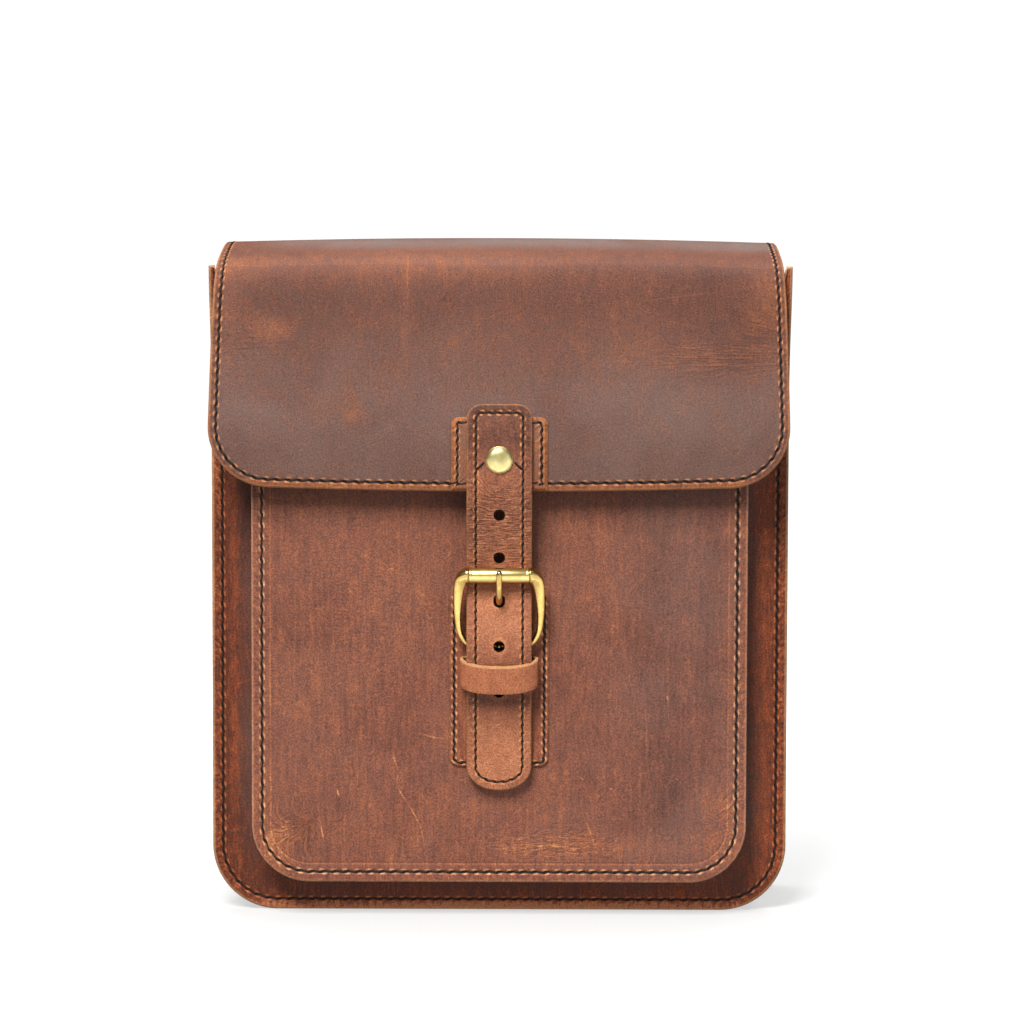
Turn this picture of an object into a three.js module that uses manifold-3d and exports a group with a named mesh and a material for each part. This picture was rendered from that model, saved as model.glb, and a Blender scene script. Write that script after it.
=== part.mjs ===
// A leather satchel: a gusseted body, a gusseted front pocket, and a flap closed by a strap and a buckle.
// Millimetres, +Z up. The front faces -Y. Depths are counted from the front panel's outer face, y = 0.
import * as THREE from "three";
import { mergeVertices } from "three/addons/utils/BufferGeometryUtils.js";
import Module from "manifold-3d";

const wasm = await Module();
wasm.setup();

// Leather thicknesses, and the gap that pieces keep
const GAP = 0.3;
const PANEL_LEATHER = 2.2;
const GUSSET_LEATHER = 1.8;
const POCKET_GUSSET_LEATHER = 1.6;
const PATCH_LEATHER = 1.2;
const STRAP_LEATHER = 2.8;
const KEEPER_LEATHER = 1.4;

// Body
const BODY_HALF_WIDTH = 114;
const BODY_TOP = 249;
const BODY_CORNER = 26;
const BODY_DEPTH = 60;
const SEAM_FLANGE = 7.5;
const GUSSET_BEND = 4;
const GUSSET_SAG = 2.5;
const EAR_TOP = 256;
const EAR_INNER = 112.2;
const EAR_OUTER = 115;
const EAR_STARTS = 190;

// Front pocket
const POCKET_HALF_WIDTH = 97;
const POCKET_BOTTOM = 14.2;
const POCKET_TOP = 205;
const POCKET_CORNER = 22.5;
const POCKET_DEPTH = 18;
const POCKET_REAR_FLANGE = 9;
const POCKET_BEND = 3;

// Flap: its outer face from the sewn edge on the back panel, over the top, to the free edge
const LAP_FACE = BODY_DEPTH + GAP + PANEL_LEATHER;
const FLAP_DRAPE = [
  { fold: "sewn edge", y: LAP_FACE, z: 212, halfWidth: 111.2 },
  { fold: "lap", y: LAP_FACE, z: 236, halfWidth: 111.2 },
  { fold: "lap top", y: LAP_FACE, z: 252, halfWidth: 111.2 },
  { fold: "rear bend", y: 60, z: 260.5, halfWidth: 111.2 },
  { fold: "crest", y: 51.5, z: 265.2, halfWidth: 111.2 },
  { fold: "lid", y: 36, z: 264.8, halfWidth: 111.2 },
  { fold: "lid slope", y: 18, z: 261.6, halfWidth: 111.2 },
  { fold: "front bend", y: 4, z: 257.2, halfWidth: 111.3 },
  { fold: "front bend foot", y: -5.6, z: 250, halfWidth: 111.5 },
  { fold: "front", y: -12, z: 237.5, halfWidth: 111.8 },
  { fold: "over the pocket", y: -20.8, z: 212, halfWidth: 112.2 },
  { fold: "hang", y: -27, z: 191, halfWidth: 112.5 },
  { fold: "free edge", y: -28.8, z: 171, halfWidth: 112.5 },
];
const FLAP_CORNER = 23;
const LAP_CORNER = 10;
const FLAP_CROWN = 1.8;
const CROWN_STARTS = 236;
const CROWN_FULL = 258;
const FLAP_EDGE_BOW = 2.2;
const BOW_REACH = 60;

// Strap and its patch on the flap
const STRAP_HALF_WIDTH = 12.7;
const STRAP_TOP = 202.5;
const STRAP_ROW_STEP = 8;
const STRAP_HOLE_RADIUS = 1.9;
const DRILL_FRONT = -45;
const STRAP_HOLE_HEIGHTS = [159.7, 142.9, 108.6, 90.4];
const TONGUE_HOLE = { top: 127.9, bottom: 124.9, radius: 2.15 };
const STRAP_DRAPE = [
  { place: "below the flap", y: -29, z: 158 },
  { place: "under the roller", y: -24.4, z: 135.4 },
  { place: "tongue hole", y: -25.4, z: 121 },
  { place: "over the heel bar", y: -26.8, z: 108 },
  { place: "keeper", y: -25.2, z: 96 },
  { place: "below the keeper", y: -22.6, z: 83 },
  { place: "on the base", y: -20.4, z: 69 },
  { place: "tip", y: -19.9, z: 51.2 },
];
const STRAP_TOP_CORNER = { along: 5.8, across: 5.8 };
const STRAP_TIP = { along: 9.5, across: 12.2 };
const FLAP_PATCH_HALF_WIDTH = 18.8;
const FLAP_PATCH_TOP = 197.6;
const FLAP_PATCH_CORNER = { along: 3, across: 3 };
const SQUARE_END = { along: 0.5, across: 0.5 };

// Rivet
const RIVET_HEIGHT = 181.3;
const RIVET_RADIUS = 5.3;
const RIVET_DOME = 2.4;
const RIVET_POST_RADIUS = 1.5;
const RIVET_HOLE_RADIUS = 2;
const RIVET_REAR_RADIUS = 4.5;
const RIVET_REAR_THICKNESS = 0.8;
const RIVET_CLEAR = 0.75;

// Patch behind the buckle, and the chape that holds the heel bar
const BASE_HALF_WIDTH = 19.6;
const BASE_BOTTOM = 59.8;
const BASE_TOP = 133.4;
const BASE_CORNER = 3.8;
const CHAPE_HALF_WIDTH = 10.5;
const CHAPE_BOTTOM = 81;
const CHAPE_SLOT = 4.6;
const CHAPE_LEATHER = 1.2;

// Roller buckle
const HEEL_BAR_HEIGHT = 108;
const HEEL_BAR_HALF = 1.1;
const EYE_BORE = 2.1;
const ROLLER_BAR = { y: -30.7, z: 136.4 };
const ROLLER_RADIUS = 2.9;
const ROLLER_WALL = 0.5;
const ROLLER_HALF_LENGTH = 11.8;
const ROLLER_BAR_HALF = 1.3;
const FRAME_HALF_WIDTH = 17.8;
const FRAME_SHOULDER = 2.8;
const FRAME_ARM_TOP = 4;
const FRAME_ARM_FOOT = 2.9;
const FRAME_ARM_TAPER = 0.4;
const FRAME_INNER_CORNER = 1;
const FRAME_HEEL_CORNER = 8.5;
const FRAME_THICKNESS = 2.6;
const PRONG_RADIUS = 1.3;
const PRONG_EYE_WALL = 1;
const PRONG_DRAPE = [
  { place: "eye", y: -23.6, z: 110.4 },
  { place: "behind the strap", y: -23.3, z: 117 },
  { place: "before the hole", y: -23.4, z: 122.2 },
  { place: "entering the hole", y: -25.1, z: 125.6 },
  { place: "through the hole", y: -28.6, z: 128.6 },
  { place: "leaving the strap", y: -33.4, z: 132.4 },
  { place: "on the roller", y: -35.8, z: 136.4 },
  { place: "tip", y: -35.6, z: 139.2 },
];

// Keeper loop
const KEEPER_HALF_WIDTH = 15.3;
const KEEPER_HEIGHT = 10.6;
const KEEPER_END_HEIGHT = 98.7;
const KEEPER_DEPTH = 10;
const KEEPER_CORNER = 3.6;
const KEEPER_DROOP = 3.1;

// Facets
const CORNER_STEPS = 7;
const BEND_STEPS = 4;
const PRONG_STEPS = 18;
const PRONG_ROUND_STEPS = 5;
const ROUND_STEPS = 16;
const DRAPE_STEP = 6;
const FLAP_COLUMNS = 12;

const LEATHER = {
  flap: { color: 0x7d584c, roughness: 0.55, metalness: 0 },
  body: { color: 0x6f4330, roughness: 0.6, metalness: 0 },
  pocket: { color: 0x84523f, roughness: 0.58, metalness: 0 },
  strap: { color: 0x965f46, roughness: 0.55, metalness: 0 },
  keeper: { color: 0xb97350, roughness: 0.55, metalness: 0 },
};
const BRASS = {
  polished: { color: 0xd9b65a, roughness: 0.18, metalness: 1 },
  antique: { color: 0xb59a5e, roughness: 0.38, metalness: 1 },
};

// A geometry with only its positions, corners shared, and its faces turned outwards.
function closed(geometry) {
  const bare = new THREE.BufferGeometry();
  bare.setAttribute("position", geometry.getAttribute("position"));
  bare.setIndex(geometry.index);
  const merged = mergeVertices(bare, 1e-4);
  const index = merged.index.array;
  const corner = [new THREE.Vector3(), new THREE.Vector3(), new THREE.Vector3()];
  let volume = 0;
  for (let n = 0; n < index.length; n += 3) {
    corner.forEach((point, k) => point.fromBufferAttribute(merged.attributes.position, index[n + k]));
    volume += corner[0].dot(corner[1].clone().cross(corner[2]));
  }
  if (volume < 0) {
    for (let n = 0; n < index.length; n += 3) {
      [index[n + 1], index[n + 2]] = [index[n + 2], index[n + 1]];
    }
  }
  return merged;
}

function solidOf(geometry) {
  const merged = closed(geometry);
  const vertProperties = merged.attributes.position.array;
  const triVerts = new Uint32Array(merged.index.array);
  return new wasm.Manifold(new wasm.Mesh({ numProp: 3, vertProperties, triVerts }));
}

function geometryOf(solid) {
  const mesh = solid.getMesh();
  const geometry = new THREE.BufferGeometry();
  geometry.setAttribute("position", new THREE.BufferAttribute(mesh.vertProperties, mesh.numProp));
  geometry.setIndex(new THREE.BufferAttribute(mesh.triVerts, 1));
  return geometry;
}

function cut(geometry, tools) {
  return geometryOf(tools.reduce((solid, tool) => solid.subtract(solidOf(tool)), solidOf(geometry)));
}

function join(geometries) {
  return geometryOf(geometries.map(solidOf).reduce((whole, solid) => whole.add(solid)));
}

function piece(name, geometry, finish) {
  const mesh = new THREE.Mesh(closed(geometry), new THREE.MeshStandardMaterial(finish));
  mesh.name = name;
  return mesh;
}

// A wall of rows by columns cells: a box whose two broad faces are carried onto place(column, row, face).
function wall(columns, rows, place) {
  const box = new THREE.BoxGeometry(1, 1, 1, columns, 1, rows);
  const position = box.getAttribute("position");
  for (let n = 0; n < position.count; n += 1) {
    const column = Math.round((position.getX(n) + 0.5) * columns);
    const face = Math.round(position.getY(n) + 0.5);
    const row = Math.round((position.getZ(n) + 0.5) * rows);
    position.setXYZ(n, ...place(column, row, face));
  }
  return box;
}

// The line at a distance to the left of a line of 2-D points, mitred at each point.
function offsetLine(points, distance) {
  return points.map((point, k) => {
    const before = points[Math.max(k - 1, 0)];
    const after = points[Math.min(k + 1, points.length - 1)];
    const into = point.clone().sub(before).normalize();
    const out = after.clone().sub(point).normalize();
    const along = into.clone().add(out).normalize();
    const mitre = along.dot(out.lengthSq() > 0 ? out : into);
    return new THREE.Vector2(point.x - (along.y * distance) / mitre, point.y + (along.x * distance) / mitre);
  });
}

// Half the width of a strip at a distance from its end, where the corners are quarter ellipses.
function endHalfWidth(halfWidth, distance, corner) {
  if (distance >= corner.along) {
    return halfWidth;
  }
  return halfWidth - corner.across * (1 - Math.sqrt(1 - (1 - distance / corner.along) ** 2));
}

// Lengths along a strip: close together at its rounded ends, a step apart between them.
function stripStations(length, start, finish, step) {
  const quarter = Array.from({ length: CORNER_STEPS }, (_, k) => {
    const angle = (Math.PI / 2) * (1 - k / CORNER_STEPS);
    return 1 - Math.sin(angle);
  });
  const middle = length - start.along - finish.along;
  const count = Math.max(1, Math.round(middle / step));
  return [
    ...quarter.map((share) => start.along * share),
    ...Array.from({ length: count + 1 }, (_, k) => start.along + (middle * k) / count),
    ...quarter.reverse().map((share) => length - finish.along * share),
  ];
}

// A strip of leather bent along a curve in the (y, z) plane, with rounded ends.
// The curve is one face, and the leather lies to its left by thickness, which may be negative.
function strip({ curve, thickness, columns, step, halfWidth, start, finish, lift = () => 0 }) {
  const length = curve.getLength();
  const stations = stripStations(length, start, finish, step);
  const line = stations.map((s) => curve.getPointAt(Math.min(1, s / length)));
  const faces = [line, offsetLine(line, thickness)];
  const widths = stations.map((s) => {
    const full = halfWidth(s);
    return Math.min(endHalfWidth(full, s, start), endHalfWidth(full, length - s, finish));
  });
  return wall(columns, stations.length - 1, (column, row, face) => {
    const x = widths[row] * ((2 * column) / columns - 1);
    const point = faces[face][row];
    return [x, point.x, point.y + lift(x, stations[row])];
  });
}

function drape(rows) {
  return new THREE.SplineCurve(rows.map(({ y, z }) => new THREE.Vector2(y, z)));
}

// The outline of a panel with square upper and rounded lower corners.
function panelShape(halfWidth, bottom, top, corner) {
  const shape = new THREE.Shape();
  shape.moveTo(-halfWidth, top);
  shape.lineTo(-halfWidth, bottom + corner);
  shape.absarc(-halfWidth + corner, bottom + corner, corner, Math.PI, 1.5 * Math.PI, false);
  shape.lineTo(halfWidth - corner, bottom);
  shape.absarc(halfWidth - corner, bottom + corner, corner, 1.5 * Math.PI, 2 * Math.PI, false);
  shape.lineTo(halfWidth, top);
  return shape;
}

// A flat sheet of an outline in (x, z), from its front face back by thickness.
function sheet(shape, frontFace, thickness) {
  const geometry = new THREE.ExtrudeGeometry(shape, {
    depth: thickness,
    bevelEnabled: false,
    curveSegments: CORNER_STEPS + 1,
  });
  geometry.rotateX(Math.PI / 2);
  geometry.translate(0, frontFace + thickness, 0);
  return geometry;
}

// The three-sided path of a panel's edge, from the top left to the top right: points and outward directions.
function edgePath(halfWidth, bottom, top, corner) {
  const left = new THREE.Vector2(-halfWidth + corner, bottom + corner);
  const right = new THREE.Vector2(halfWidth - corner, bottom + corner);
  const turn = (centre, from) =>
    Array.from({ length: CORNER_STEPS + 1 }, (_, k) => {
      const angle = from + ((Math.PI / 2) * k) / CORNER_STEPS;
      const outward = new THREE.Vector2(Math.cos(angle), Math.sin(angle));
      return { point: outward.clone().multiplyScalar(corner).add(centre), outward };
    });
  return [
    { point: new THREE.Vector2(-halfWidth, top), outward: new THREE.Vector2(-1, 0) },
    ...turn(left, Math.PI),
    ...turn(right, 1.5 * Math.PI),
    { point: new THREE.Vector2(halfWidth, top), outward: new THREE.Vector2(1, 0) },
  ];
}

// Points along a line of corners {out, y}, where a curve of reach bend rounds each inner corner.
function bentSection(corners, bend) {
  const points = corners.map(({ out, y }) => new THREE.Vector2(out, y));
  const path = new THREE.Path();
  path.moveTo(points[0].x, points[0].y);
  points.slice(1, -1).forEach((corner, k) => {
    const before = points[k].clone().sub(corner).setLength(bend).add(corner);
    const after = points[k + 2].clone().sub(corner).setLength(bend).add(corner);
    path.lineTo(before.x, before.y);
    path.quadraticCurveTo(corner.x, corner.y, after.x, after.y);
  });
  path.lineTo(points.at(-1).x, points.at(-1).y);
  return path.getPoints(BEND_STEPS);
}

// A bent strip of leather swept round three sides of a panel: the section is in (outward, y).
function gussetWall(path, section, thickness) {
  const faces = [section, offsetLine(section, thickness)];
  return wall(section.length - 1, path.length - 1, (column, row, face) => {
    const { point, outward } = path[row];
    const { x: out, y } = faces[face][column];
    return [point.x + outward.x * out, y, point.y + outward.y * out];
  });
}

function frontPanel() {
  const shape = new THREE.Shape();
  const corner = BODY_CORNER;
  const floor = BODY_HALF_WIDTH - corner;
  shape.moveTo(-EAR_OUTER, EAR_TOP);
  shape.quadraticCurveTo(-BODY_HALF_WIDTH, (EAR_TOP + EAR_STARTS) / 2, -BODY_HALF_WIDTH, EAR_STARTS);
  shape.lineTo(-BODY_HALF_WIDTH, corner);
  shape.absarc(-floor, corner, corner, Math.PI, 1.5 * Math.PI, false);
  shape.lineTo(floor, 0);
  shape.absarc(floor, corner, corner, 1.5 * Math.PI, 2 * Math.PI, false);
  shape.lineTo(BODY_HALF_WIDTH, EAR_STARTS);
  shape.quadraticCurveTo(BODY_HALF_WIDTH, (EAR_TOP + EAR_STARTS) / 2, EAR_OUTER, EAR_TOP);
  shape.lineTo(EAR_INNER, EAR_TOP);
  shape.lineTo(EAR_INNER, BODY_TOP);
  shape.lineTo(-EAR_INNER, BODY_TOP);
  shape.lineTo(-EAR_INNER, EAR_TOP);
  return piece("front_panel", sheet(shape, 0, PANEL_LEATHER), LEATHER.body);
}

function backPanel() {
  const shape = panelShape(BODY_HALF_WIDTH, 0, BODY_TOP, BODY_CORNER);
  return piece("back_panel", sheet(shape, BODY_DEPTH - PANEL_LEATHER, PANEL_LEATHER), LEATHER.body);
}

// The gusset's section: a flange behind the front panel, a web that sags in, a flange before the back panel.
function gusset() {
  const front = PANEL_LEATHER + GAP;
  const back = BODY_DEPTH - PANEL_LEATHER - GAP;
  const section = bentSection(
    [
      { out: 0, y: front },
      { out: -SEAM_FLANGE, y: front },
      { out: -SEAM_FLANGE - GUSSET_SAG, y: (front + back) / 2 },
      { out: -SEAM_FLANGE, y: back },
      { out: 0, y: back },
    ],
    GUSSET_BEND,
  );
  const path = edgePath(BODY_HALF_WIDTH, 0, BODY_TOP, BODY_CORNER);
  return piece("gusset", gussetWall(path, section, -GUSSET_LEATHER), LEATHER.body);
}

function pocketFront() {
  const shape = panelShape(POCKET_HALF_WIDTH, POCKET_BOTTOM, POCKET_TOP, POCKET_CORNER);
  return piece("pocket_front", sheet(shape, -POCKET_DEPTH, PANEL_LEATHER), LEATHER.pocket);
}

// The pocket gusset's section: a flange behind the pocket front, a web, a flange on the front panel.
function pocketGusset() {
  const front = -POCKET_DEPTH + PANEL_LEATHER + GAP;
  const section = bentSection(
    [
      { out: 0, y: front },
      { out: -SEAM_FLANGE, y: front },
      { out: -SEAM_FLANGE, y: -GAP - POCKET_GUSSET_LEATHER },
      { out: -SEAM_FLANGE - POCKET_REAR_FLANGE, y: -GAP - POCKET_GUSSET_LEATHER },
    ],
    POCKET_BEND,
  );
  const path = edgePath(POCKET_HALF_WIDTH, POCKET_BOTTOM, POCKET_TOP, POCKET_CORNER);
  return piece("pocket_gusset", gussetWall(path, section, -POCKET_GUSSET_LEATHER), LEATHER.pocket);
}

const flapCurve = drape(FLAP_DRAPE);
const flapLength = flapCurve.getLength();
const flapWidths = new THREE.CatmullRomCurve3(
  FLAP_DRAPE.map(({ y, z, halfWidth }) => new THREE.Vector3(halfWidth, y, z)),
);

// How far the flap's middle stands above its sides, at a length along it: a crown, and a bow at the edge.
function flapLift(x, s) {
  const across = 1 - (x / FLAP_DRAPE[0].halfWidth) ** 2;
  const height = flapCurve.getPointAt(Math.min(1, s / flapLength)).y;
  const crown = FLAP_CROWN * THREE.MathUtils.smoothstep(height, CROWN_STARTS, CROWN_FULL);
  const bow = FLAP_EDGE_BOW * THREE.MathUtils.smoothstep(s, flapLength - BOW_REACH, flapLength);
  return across * (crown - bow);
}

// A cylinder along y that pierces the leather at a height.
function drill(radius, height, fromDepth, toDepth) {
  const geometry = new THREE.CylinderGeometry(radius, radius, toDepth - fromDepth, ROUND_STEPS);
  geometry.translate(0, (fromDepth + toDepth) / 2, height);
  return geometry;
}

const rivetHole = () => drill(RIVET_HOLE_RADIUS, RIVET_HEIGHT, DRILL_FRONT, -POCKET_DEPTH);

function flap() {
  const geometry = strip({
    curve: flapCurve,
    thickness: PANEL_LEATHER,
    columns: FLAP_COLUMNS,
    step: DRAPE_STEP,
    halfWidth: (s) => flapWidths.getPointAt(Math.min(1, s / flapLength)).x,
    start: { along: LAP_CORNER, across: LAP_CORNER },
    finish: { along: FLAP_CORNER, across: FLAP_CORNER },
    lift: flapLift,
  });
  return piece("flap", cut(geometry, [rivetHole()]), LEATHER.flap);
}

// The flap's outer face along its middle, moved out by clear, from a height down to the free edge.
function flapFace(fromHeight, clear) {
  const count = Math.round(flapLength);
  const line = Array.from({ length: count + 1 }, (_, k) => {
    const point = flapCurve.getPointAt(k / count);
    return point.setY(point.y + flapLift(0, (flapLength * k) / count));
  });
  return offsetLine(line, -clear).filter((point) => point.x < 0 && point.y < fromHeight);
}

function flapPatch() {
  const geometry = strip({
    curve: new THREE.SplineCurve(flapFace(FLAP_PATCH_TOP, GAP)),
    thickness: -PATCH_LEATHER,
    columns: 2,
    step: DRAPE_STEP / 2,
    halfWidth: () => FLAP_PATCH_HALF_WIDTH,
    start: FLAP_PATCH_CORNER,
    finish: SQUARE_END,
  });
  return piece("flap_patch", cut(geometry, [rivetHole()]), LEATHER.flap);
}

const strapOnFlap = flapFace(STRAP_TOP, GAP + PATCH_LEATHER + GAP);
const strapCurve = new THREE.SplineCurve([
  ...strapOnFlap.filter((_, k) => k % STRAP_ROW_STEP === 0),
  ...STRAP_DRAPE.map(({ y, z }) => new THREE.Vector2(y, z)),
]);

function closureStrap() {
  const geometry = strip({
    curve: strapCurve,
    thickness: -STRAP_LEATHER,
    columns: 2,
    step: DRAPE_STEP / 2,
    halfWidth: () => STRAP_HALF_WIDTH,
    start: STRAP_TOP_CORNER,
    finish: STRAP_TIP,
  });
  const through = [DRILL_FRONT, -POCKET_DEPTH];
  const round = STRAP_HOLE_HEIGHTS.map((height) => drill(STRAP_HOLE_RADIUS, height, ...through));
  const { top, bottom, radius } = TONGUE_HOLE;
  const slot = new THREE.BoxGeometry(radius * 2, through[1] - through[0], top - bottom);
  slot.translate(0, (through[0] + through[1]) / 2, (top + bottom) / 2);
  const tongue = [slot, drill(radius, top, ...through), drill(radius, bottom, ...through)];
  return piece("closure_strap", cut(geometry, [rivetHole(), ...round, ...tongue]), LEATHER.strap);
}

// The depth of a line of (y, z) points at a height.
function depthAt(points, height) {
  const k = points.findIndex((point) => point.y < height);
  const share = (points[k - 1].y - height) / (points[k - 1].y - points[k].y);
  return THREE.MathUtils.lerp(points[k - 1].x, points[k].x, share);
}

// The rivet: a domed cap on the strap, a post through the leather, and a flat cap inside the flap.
function rivet() {
  const seat = -depthAt(strapOnFlap, RIVET_HEIGHT) + STRAP_LEATHER + RIVET_CLEAR;
  const inside = -depthAt(flapFace(STRAP_TOP, -PANEL_LEATHER), RIVET_HEIGHT) - RIVET_CLEAR;
  const dome = Array.from({ length: CORNER_STEPS }, (_, k) => {
    const angle = ((Math.PI / 2) * k) / CORNER_STEPS;
    return new THREE.Vector2(RIVET_RADIUS * Math.cos(angle), seat + RIVET_DOME * Math.sin(angle));
  });
  const profile = [
    new THREE.Vector2(0, inside - RIVET_REAR_THICKNESS),
    new THREE.Vector2(RIVET_REAR_RADIUS, inside - RIVET_REAR_THICKNESS),
    new THREE.Vector2(RIVET_REAR_RADIUS, inside),
    new THREE.Vector2(RIVET_POST_RADIUS, inside),
    new THREE.Vector2(RIVET_POST_RADIUS, seat),
    ...dome,
    new THREE.Vector2(0, seat + RIVET_DOME),
  ];
  const geometry = new THREE.LatheGeometry(profile, ROUND_STEPS);
  geometry.rotateX(Math.PI);
  geometry.translate(0, 0, RIVET_HEIGHT);
  return piece("rivet", geometry, BRASS.antique);
}

const BASE_FACE = -POCKET_DEPTH - GAP - PATCH_LEATHER;
const CHAPE_RADIUS = EYE_BORE + CHAPE_LEATHER;
const HEEL_BAR_DEPTH = BASE_FACE - GAP - CHAPE_RADIUS;

function buckleBase() {
  const shape = panelShape(BASE_HALF_WIDTH, BASE_BOTTOM, BASE_TOP, BASE_CORNER);
  return piece("buckle_base", sheet(shape, BASE_FACE, PATCH_LEATHER), LEATHER.pocket);
}

// The chape: a leather eye round the heel bar, slotted for the prong, with a tail down the base.
function buckleChape() {
  const ring = new THREE.Shape();
  ring.absarc(0, 0, CHAPE_RADIUS, 0, 2 * Math.PI, false);
  ring.holes.push(new THREE.Path().absarc(0, 0, EYE_BORE, 0, 2 * Math.PI, true));
  const width = 2 * CHAPE_HALF_WIDTH;
  const eye = new THREE.ExtrudeGeometry(ring, {
    depth: width,
    bevelEnabled: false,
    curveSegments: ROUND_STEPS / 2,
  });
  eye.rotateY(Math.PI / 2);
  eye.translate(-CHAPE_HALF_WIDTH, HEEL_BAR_DEPTH, HEEL_BAR_HEIGHT);
  const tail = new THREE.BoxGeometry(width, CHAPE_LEATHER, HEEL_BAR_HEIGHT - CHAPE_BOTTOM);
  tail.translate(0, BASE_FACE - GAP - CHAPE_LEATHER / 2, (HEEL_BAR_HEIGHT + CHAPE_BOTTOM) / 2);
  const slot = new THREE.BoxGeometry(CHAPE_SLOT, 3 * CHAPE_RADIUS, 3 * CHAPE_RADIUS);
  slot.translate(0, HEEL_BAR_DEPTH, HEEL_BAR_HEIGHT);
  return piece("buckle_chape", cut(join([eye, tail]), [slot]), LEATHER.strap);
}

const frameTilt = new THREE.Vector2(ROLLER_BAR.y - HEEL_BAR_DEPTH, ROLLER_BAR.z - HEEL_BAR_HEIGHT);

// One side of the buckle frame's outline, from the heel bar's middle to the roller bar's middle, right half.
function frameOutline(path, side, inset) {
  const top = frameTilt.length();
  const rise = inset ? -ROLLER_BAR_HALF : FRAME_SHOULDER;
  const heel = inset ? HEEL_BAR_HALF : -HEEL_BAR_HALF;
  const arm = FRAME_HALF_WIDTH - (inset ? FRAME_ARM_TOP : 0);
  const foot = FRAME_HALF_WIDTH - FRAME_ARM_TAPER - (inset ? FRAME_ARM_FOOT : 0);
  const corner = FRAME_HEEL_CORNER - (inset ? FRAME_ARM_FOOT : 0);
  const shoulder = inset ? FRAME_INNER_CORNER : FRAME_SHOULDER;
  path.lineTo(side * (foot - corner), heel);
  path.quadraticCurveTo(side * foot, heel, side * foot, heel + corner);
  path.lineTo(side * arm, top + rise - shoulder);
  path.quadraticCurveTo(side * arm, top + rise, side * (arm - shoulder), top + rise);
}

function frameShape(inset) {
  const top = frameTilt.length();
  const right = new THREE.Path();
  const left = new THREE.Path();
  right.moveTo(0, inset ? HEEL_BAR_HALF : -HEEL_BAR_HALF);
  left.moveTo(0, inset ? HEEL_BAR_HALF : -HEEL_BAR_HALF);
  frameOutline(right, 1, inset);
  frameOutline(left, -1, inset);
  const neck = inset ? [] : [new THREE.Vector2(ROLLER_HALF_LENGTH + GAP, top + ROLLER_BAR_HALF)];
  const step = inset ? [] : [new THREE.Vector2(ROLLER_HALF_LENGTH + GAP, top + FRAME_SHOULDER)];
  const mirrored = [...step, ...neck].reverse().map((point) => new THREE.Vector2(-point.x, point.y));
  const rightSide = right.getPoints(CORNER_STEPS);
  const leftSide = left.getPoints(CORNER_STEPS).reverse();
  return [...rightSide, ...step, ...neck, ...mirrored, ...leftSide];
}

function buckleFrame() {
  const shape = new THREE.Shape(frameShape(false));
  shape.holes.push(new THREE.Path(frameShape(true).reverse()));
  const geometry = new THREE.ExtrudeGeometry(shape, { depth: FRAME_THICKNESS, bevelEnabled: false });
  geometry.translate(0, 0, -FRAME_THICKNESS / 2);
  const mesh = piece("buckle_frame", geometry, BRASS.polished);
  mesh.position.set(0, HEEL_BAR_DEPTH, HEEL_BAR_HEIGHT);
  mesh.rotation.x = Math.atan2(frameTilt.y, frameTilt.x);
  return mesh;
}

function buckleRoller() {
  const inner = ROLLER_RADIUS - ROLLER_WALL;
  const profile = [
    new THREE.Vector2(inner, -ROLLER_HALF_LENGTH),
    new THREE.Vector2(ROLLER_RADIUS, -ROLLER_HALF_LENGTH),
    new THREE.Vector2(ROLLER_RADIUS, ROLLER_HALF_LENGTH),
    new THREE.Vector2(inner, ROLLER_HALF_LENGTH),
    new THREE.Vector2(inner, -ROLLER_HALF_LENGTH),
  ];
  const mesh = piece("buckle_roller", new THREE.LatheGeometry(profile, ROUND_STEPS), BRASS.polished);
  mesh.rotation.z = Math.PI / 2;
  mesh.position.set(0, ROLLER_BAR.y, ROLLER_BAR.z);
  return mesh;
}

// The prong: an eye round the heel bar, and a shank through the tongue hole to rest on the roller.
function buckleProng() {
  const ring = new THREE.Shape();
  ring.absarc(0, 0, EYE_BORE + PRONG_EYE_WALL, 0, 2 * Math.PI, false);
  ring.holes.push(new THREE.Path().absarc(0, 0, EYE_BORE, 0, 2 * Math.PI, true));
  const width = 2 * PRONG_RADIUS;
  const eye = new THREE.ExtrudeGeometry(ring, {
    depth: width,
    bevelEnabled: false,
    curveSegments: ROUND_STEPS / 2,
  });
  eye.rotateY(Math.PI / 2);
  eye.translate(-PRONG_RADIUS, HEEL_BAR_DEPTH, HEEL_BAR_HEIGHT);
  const section = new THREE.Shape().absarc(0, 0, PRONG_RADIUS, 0, 2 * Math.PI, false);
  const path = new THREE.CatmullRomCurve3(PRONG_DRAPE.map(({ y, z }) => new THREE.Vector3(0, y, z)));
  const shank = new THREE.ExtrudeGeometry(section, {
    steps: PRONG_STEPS,
    curveSegments: PRONG_ROUND_STEPS,
    extrudePath: path,
  });
  return piece("buckle_prong", join([eye, shank]), BRASS.polished);
}

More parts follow.
